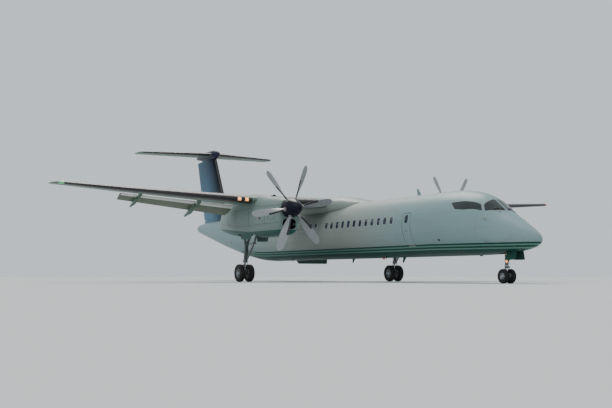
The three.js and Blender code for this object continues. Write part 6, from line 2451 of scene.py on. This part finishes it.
class AIRLINER_OT_propellers(bpy.types.Operator):
    """Makes the blades and spinners"""

    bl_idname = "airliner.propellers"
    bl_label = "Propellers"

    def execute(self, context):
        make_propellers(paint_of(context))
        return {"FINISHED"}


class AIRLINER_OT_tail(bpy.types.Operator):
    """Makes the fin, rudders, tailplane and elevators"""

    bl_idname = "airliner.tail"
    bl_label = "Tail"

    def execute(self, context):
        make_tail(paint_of(context))
        return {"FINISHED"}


class AIRLINER_OT_main_gear(bpy.types.Operator):
    """Makes the main legs, braces and doors"""

    bl_idname = "airliner.main_gear"
    bl_label = "Main gear"

    def execute(self, context):
        make_main_gear(paint_of(context))
        return {"FINISHED"}


class AIRLINER_OT_nose_gear(bpy.types.Operator):
    """Makes the nose leg with its lamps and doors"""

    bl_idname = "airliner.nose_gear"
    bl_label = "Nose gear"

    def execute(self, context):
        make_nose_gear(paint_of(context))
        return {"FINISHED"}


class AIRLINER_OT_wheels(bpy.types.Operator):
    """Makes the tyres and wheels"""

    bl_idname = "airliner.wheels"
    bl_label = "Wheels"

    def execute(self, context):
        make_wheels(paint_of(context))
        return {"FINISHED"}


class AIRLINER_OT_trim(bpy.types.Operator):
    """Makes the strake, lamps, aerials, wicks and fasteners"""

    bl_idname = "airliner.trim"
    bl_label = "Trim"

    def execute(self, context):
        for make in (make_strake, make_lamps, make_aerials, make_wicks, make_fasteners):
            make(paint_of(context))
        return {"FINISHED"}


OPERATORS = (
    AIRLINER_OT_stage,
    AIRLINER_OT_fuselage, AIRLINER_OT_doors, AIRLINER_OT_glass, AIRLINER_OT_wing, AIRLINER_OT_flaps,
    AIRLINER_OT_nacelles, AIRLINER_OT_propellers, AIRLINER_OT_tail, AIRLINER_OT_main_gear,
    AIRLINER_OT_nose_gear, AIRLINER_OT_wheels, AIRLINER_OT_trim,
)


class AIRLINER_PT_pieces(bpy.types.Panel):
    """Lists what makes the airliner"""

    bl_idname = "AIRLINER_PT_pieces"
    bl_label = "Turboprop airliner"
    bl_space_type = "VIEW_3D"
    bl_region_type = "UI"
    bl_category = "Airliner"

    def draw(self, context):
        for settings in (context.scene.airliner_livery, context.scene.airliner_view):
            box = self.layout.box()
            for name in settings.__annotations__:
                box.prop(settings, name)
        for operator in OPERATORS:
            self.layout.operator(operator.bl_idname)


CLASSES = (LiverySettings, ViewSettings, *OPERATORS, AIRLINER_PT_pieces)


def register():
    for item in CLASSES:
        bpy.utils.register_class(item)
    bpy.types.Scene.airliner_livery = bpy.props.PointerProperty(type=LiverySettings)
    bpy.types.Scene.airliner_view = bpy.props.PointerProperty(type=ViewSettings)


def unregister():
    del bpy.types.Scene.airliner_view
    del bpy.types.Scene.airliner_livery
    for item in reversed(CLASSES):
        bpy.utils.unregister_class(item)


def main():
    register()
    for operator in OPERATORS:
        getattr(bpy.ops.airliner, operator.bl_idname.split(".")[1])()


if __name__ == "__main__":
    main()
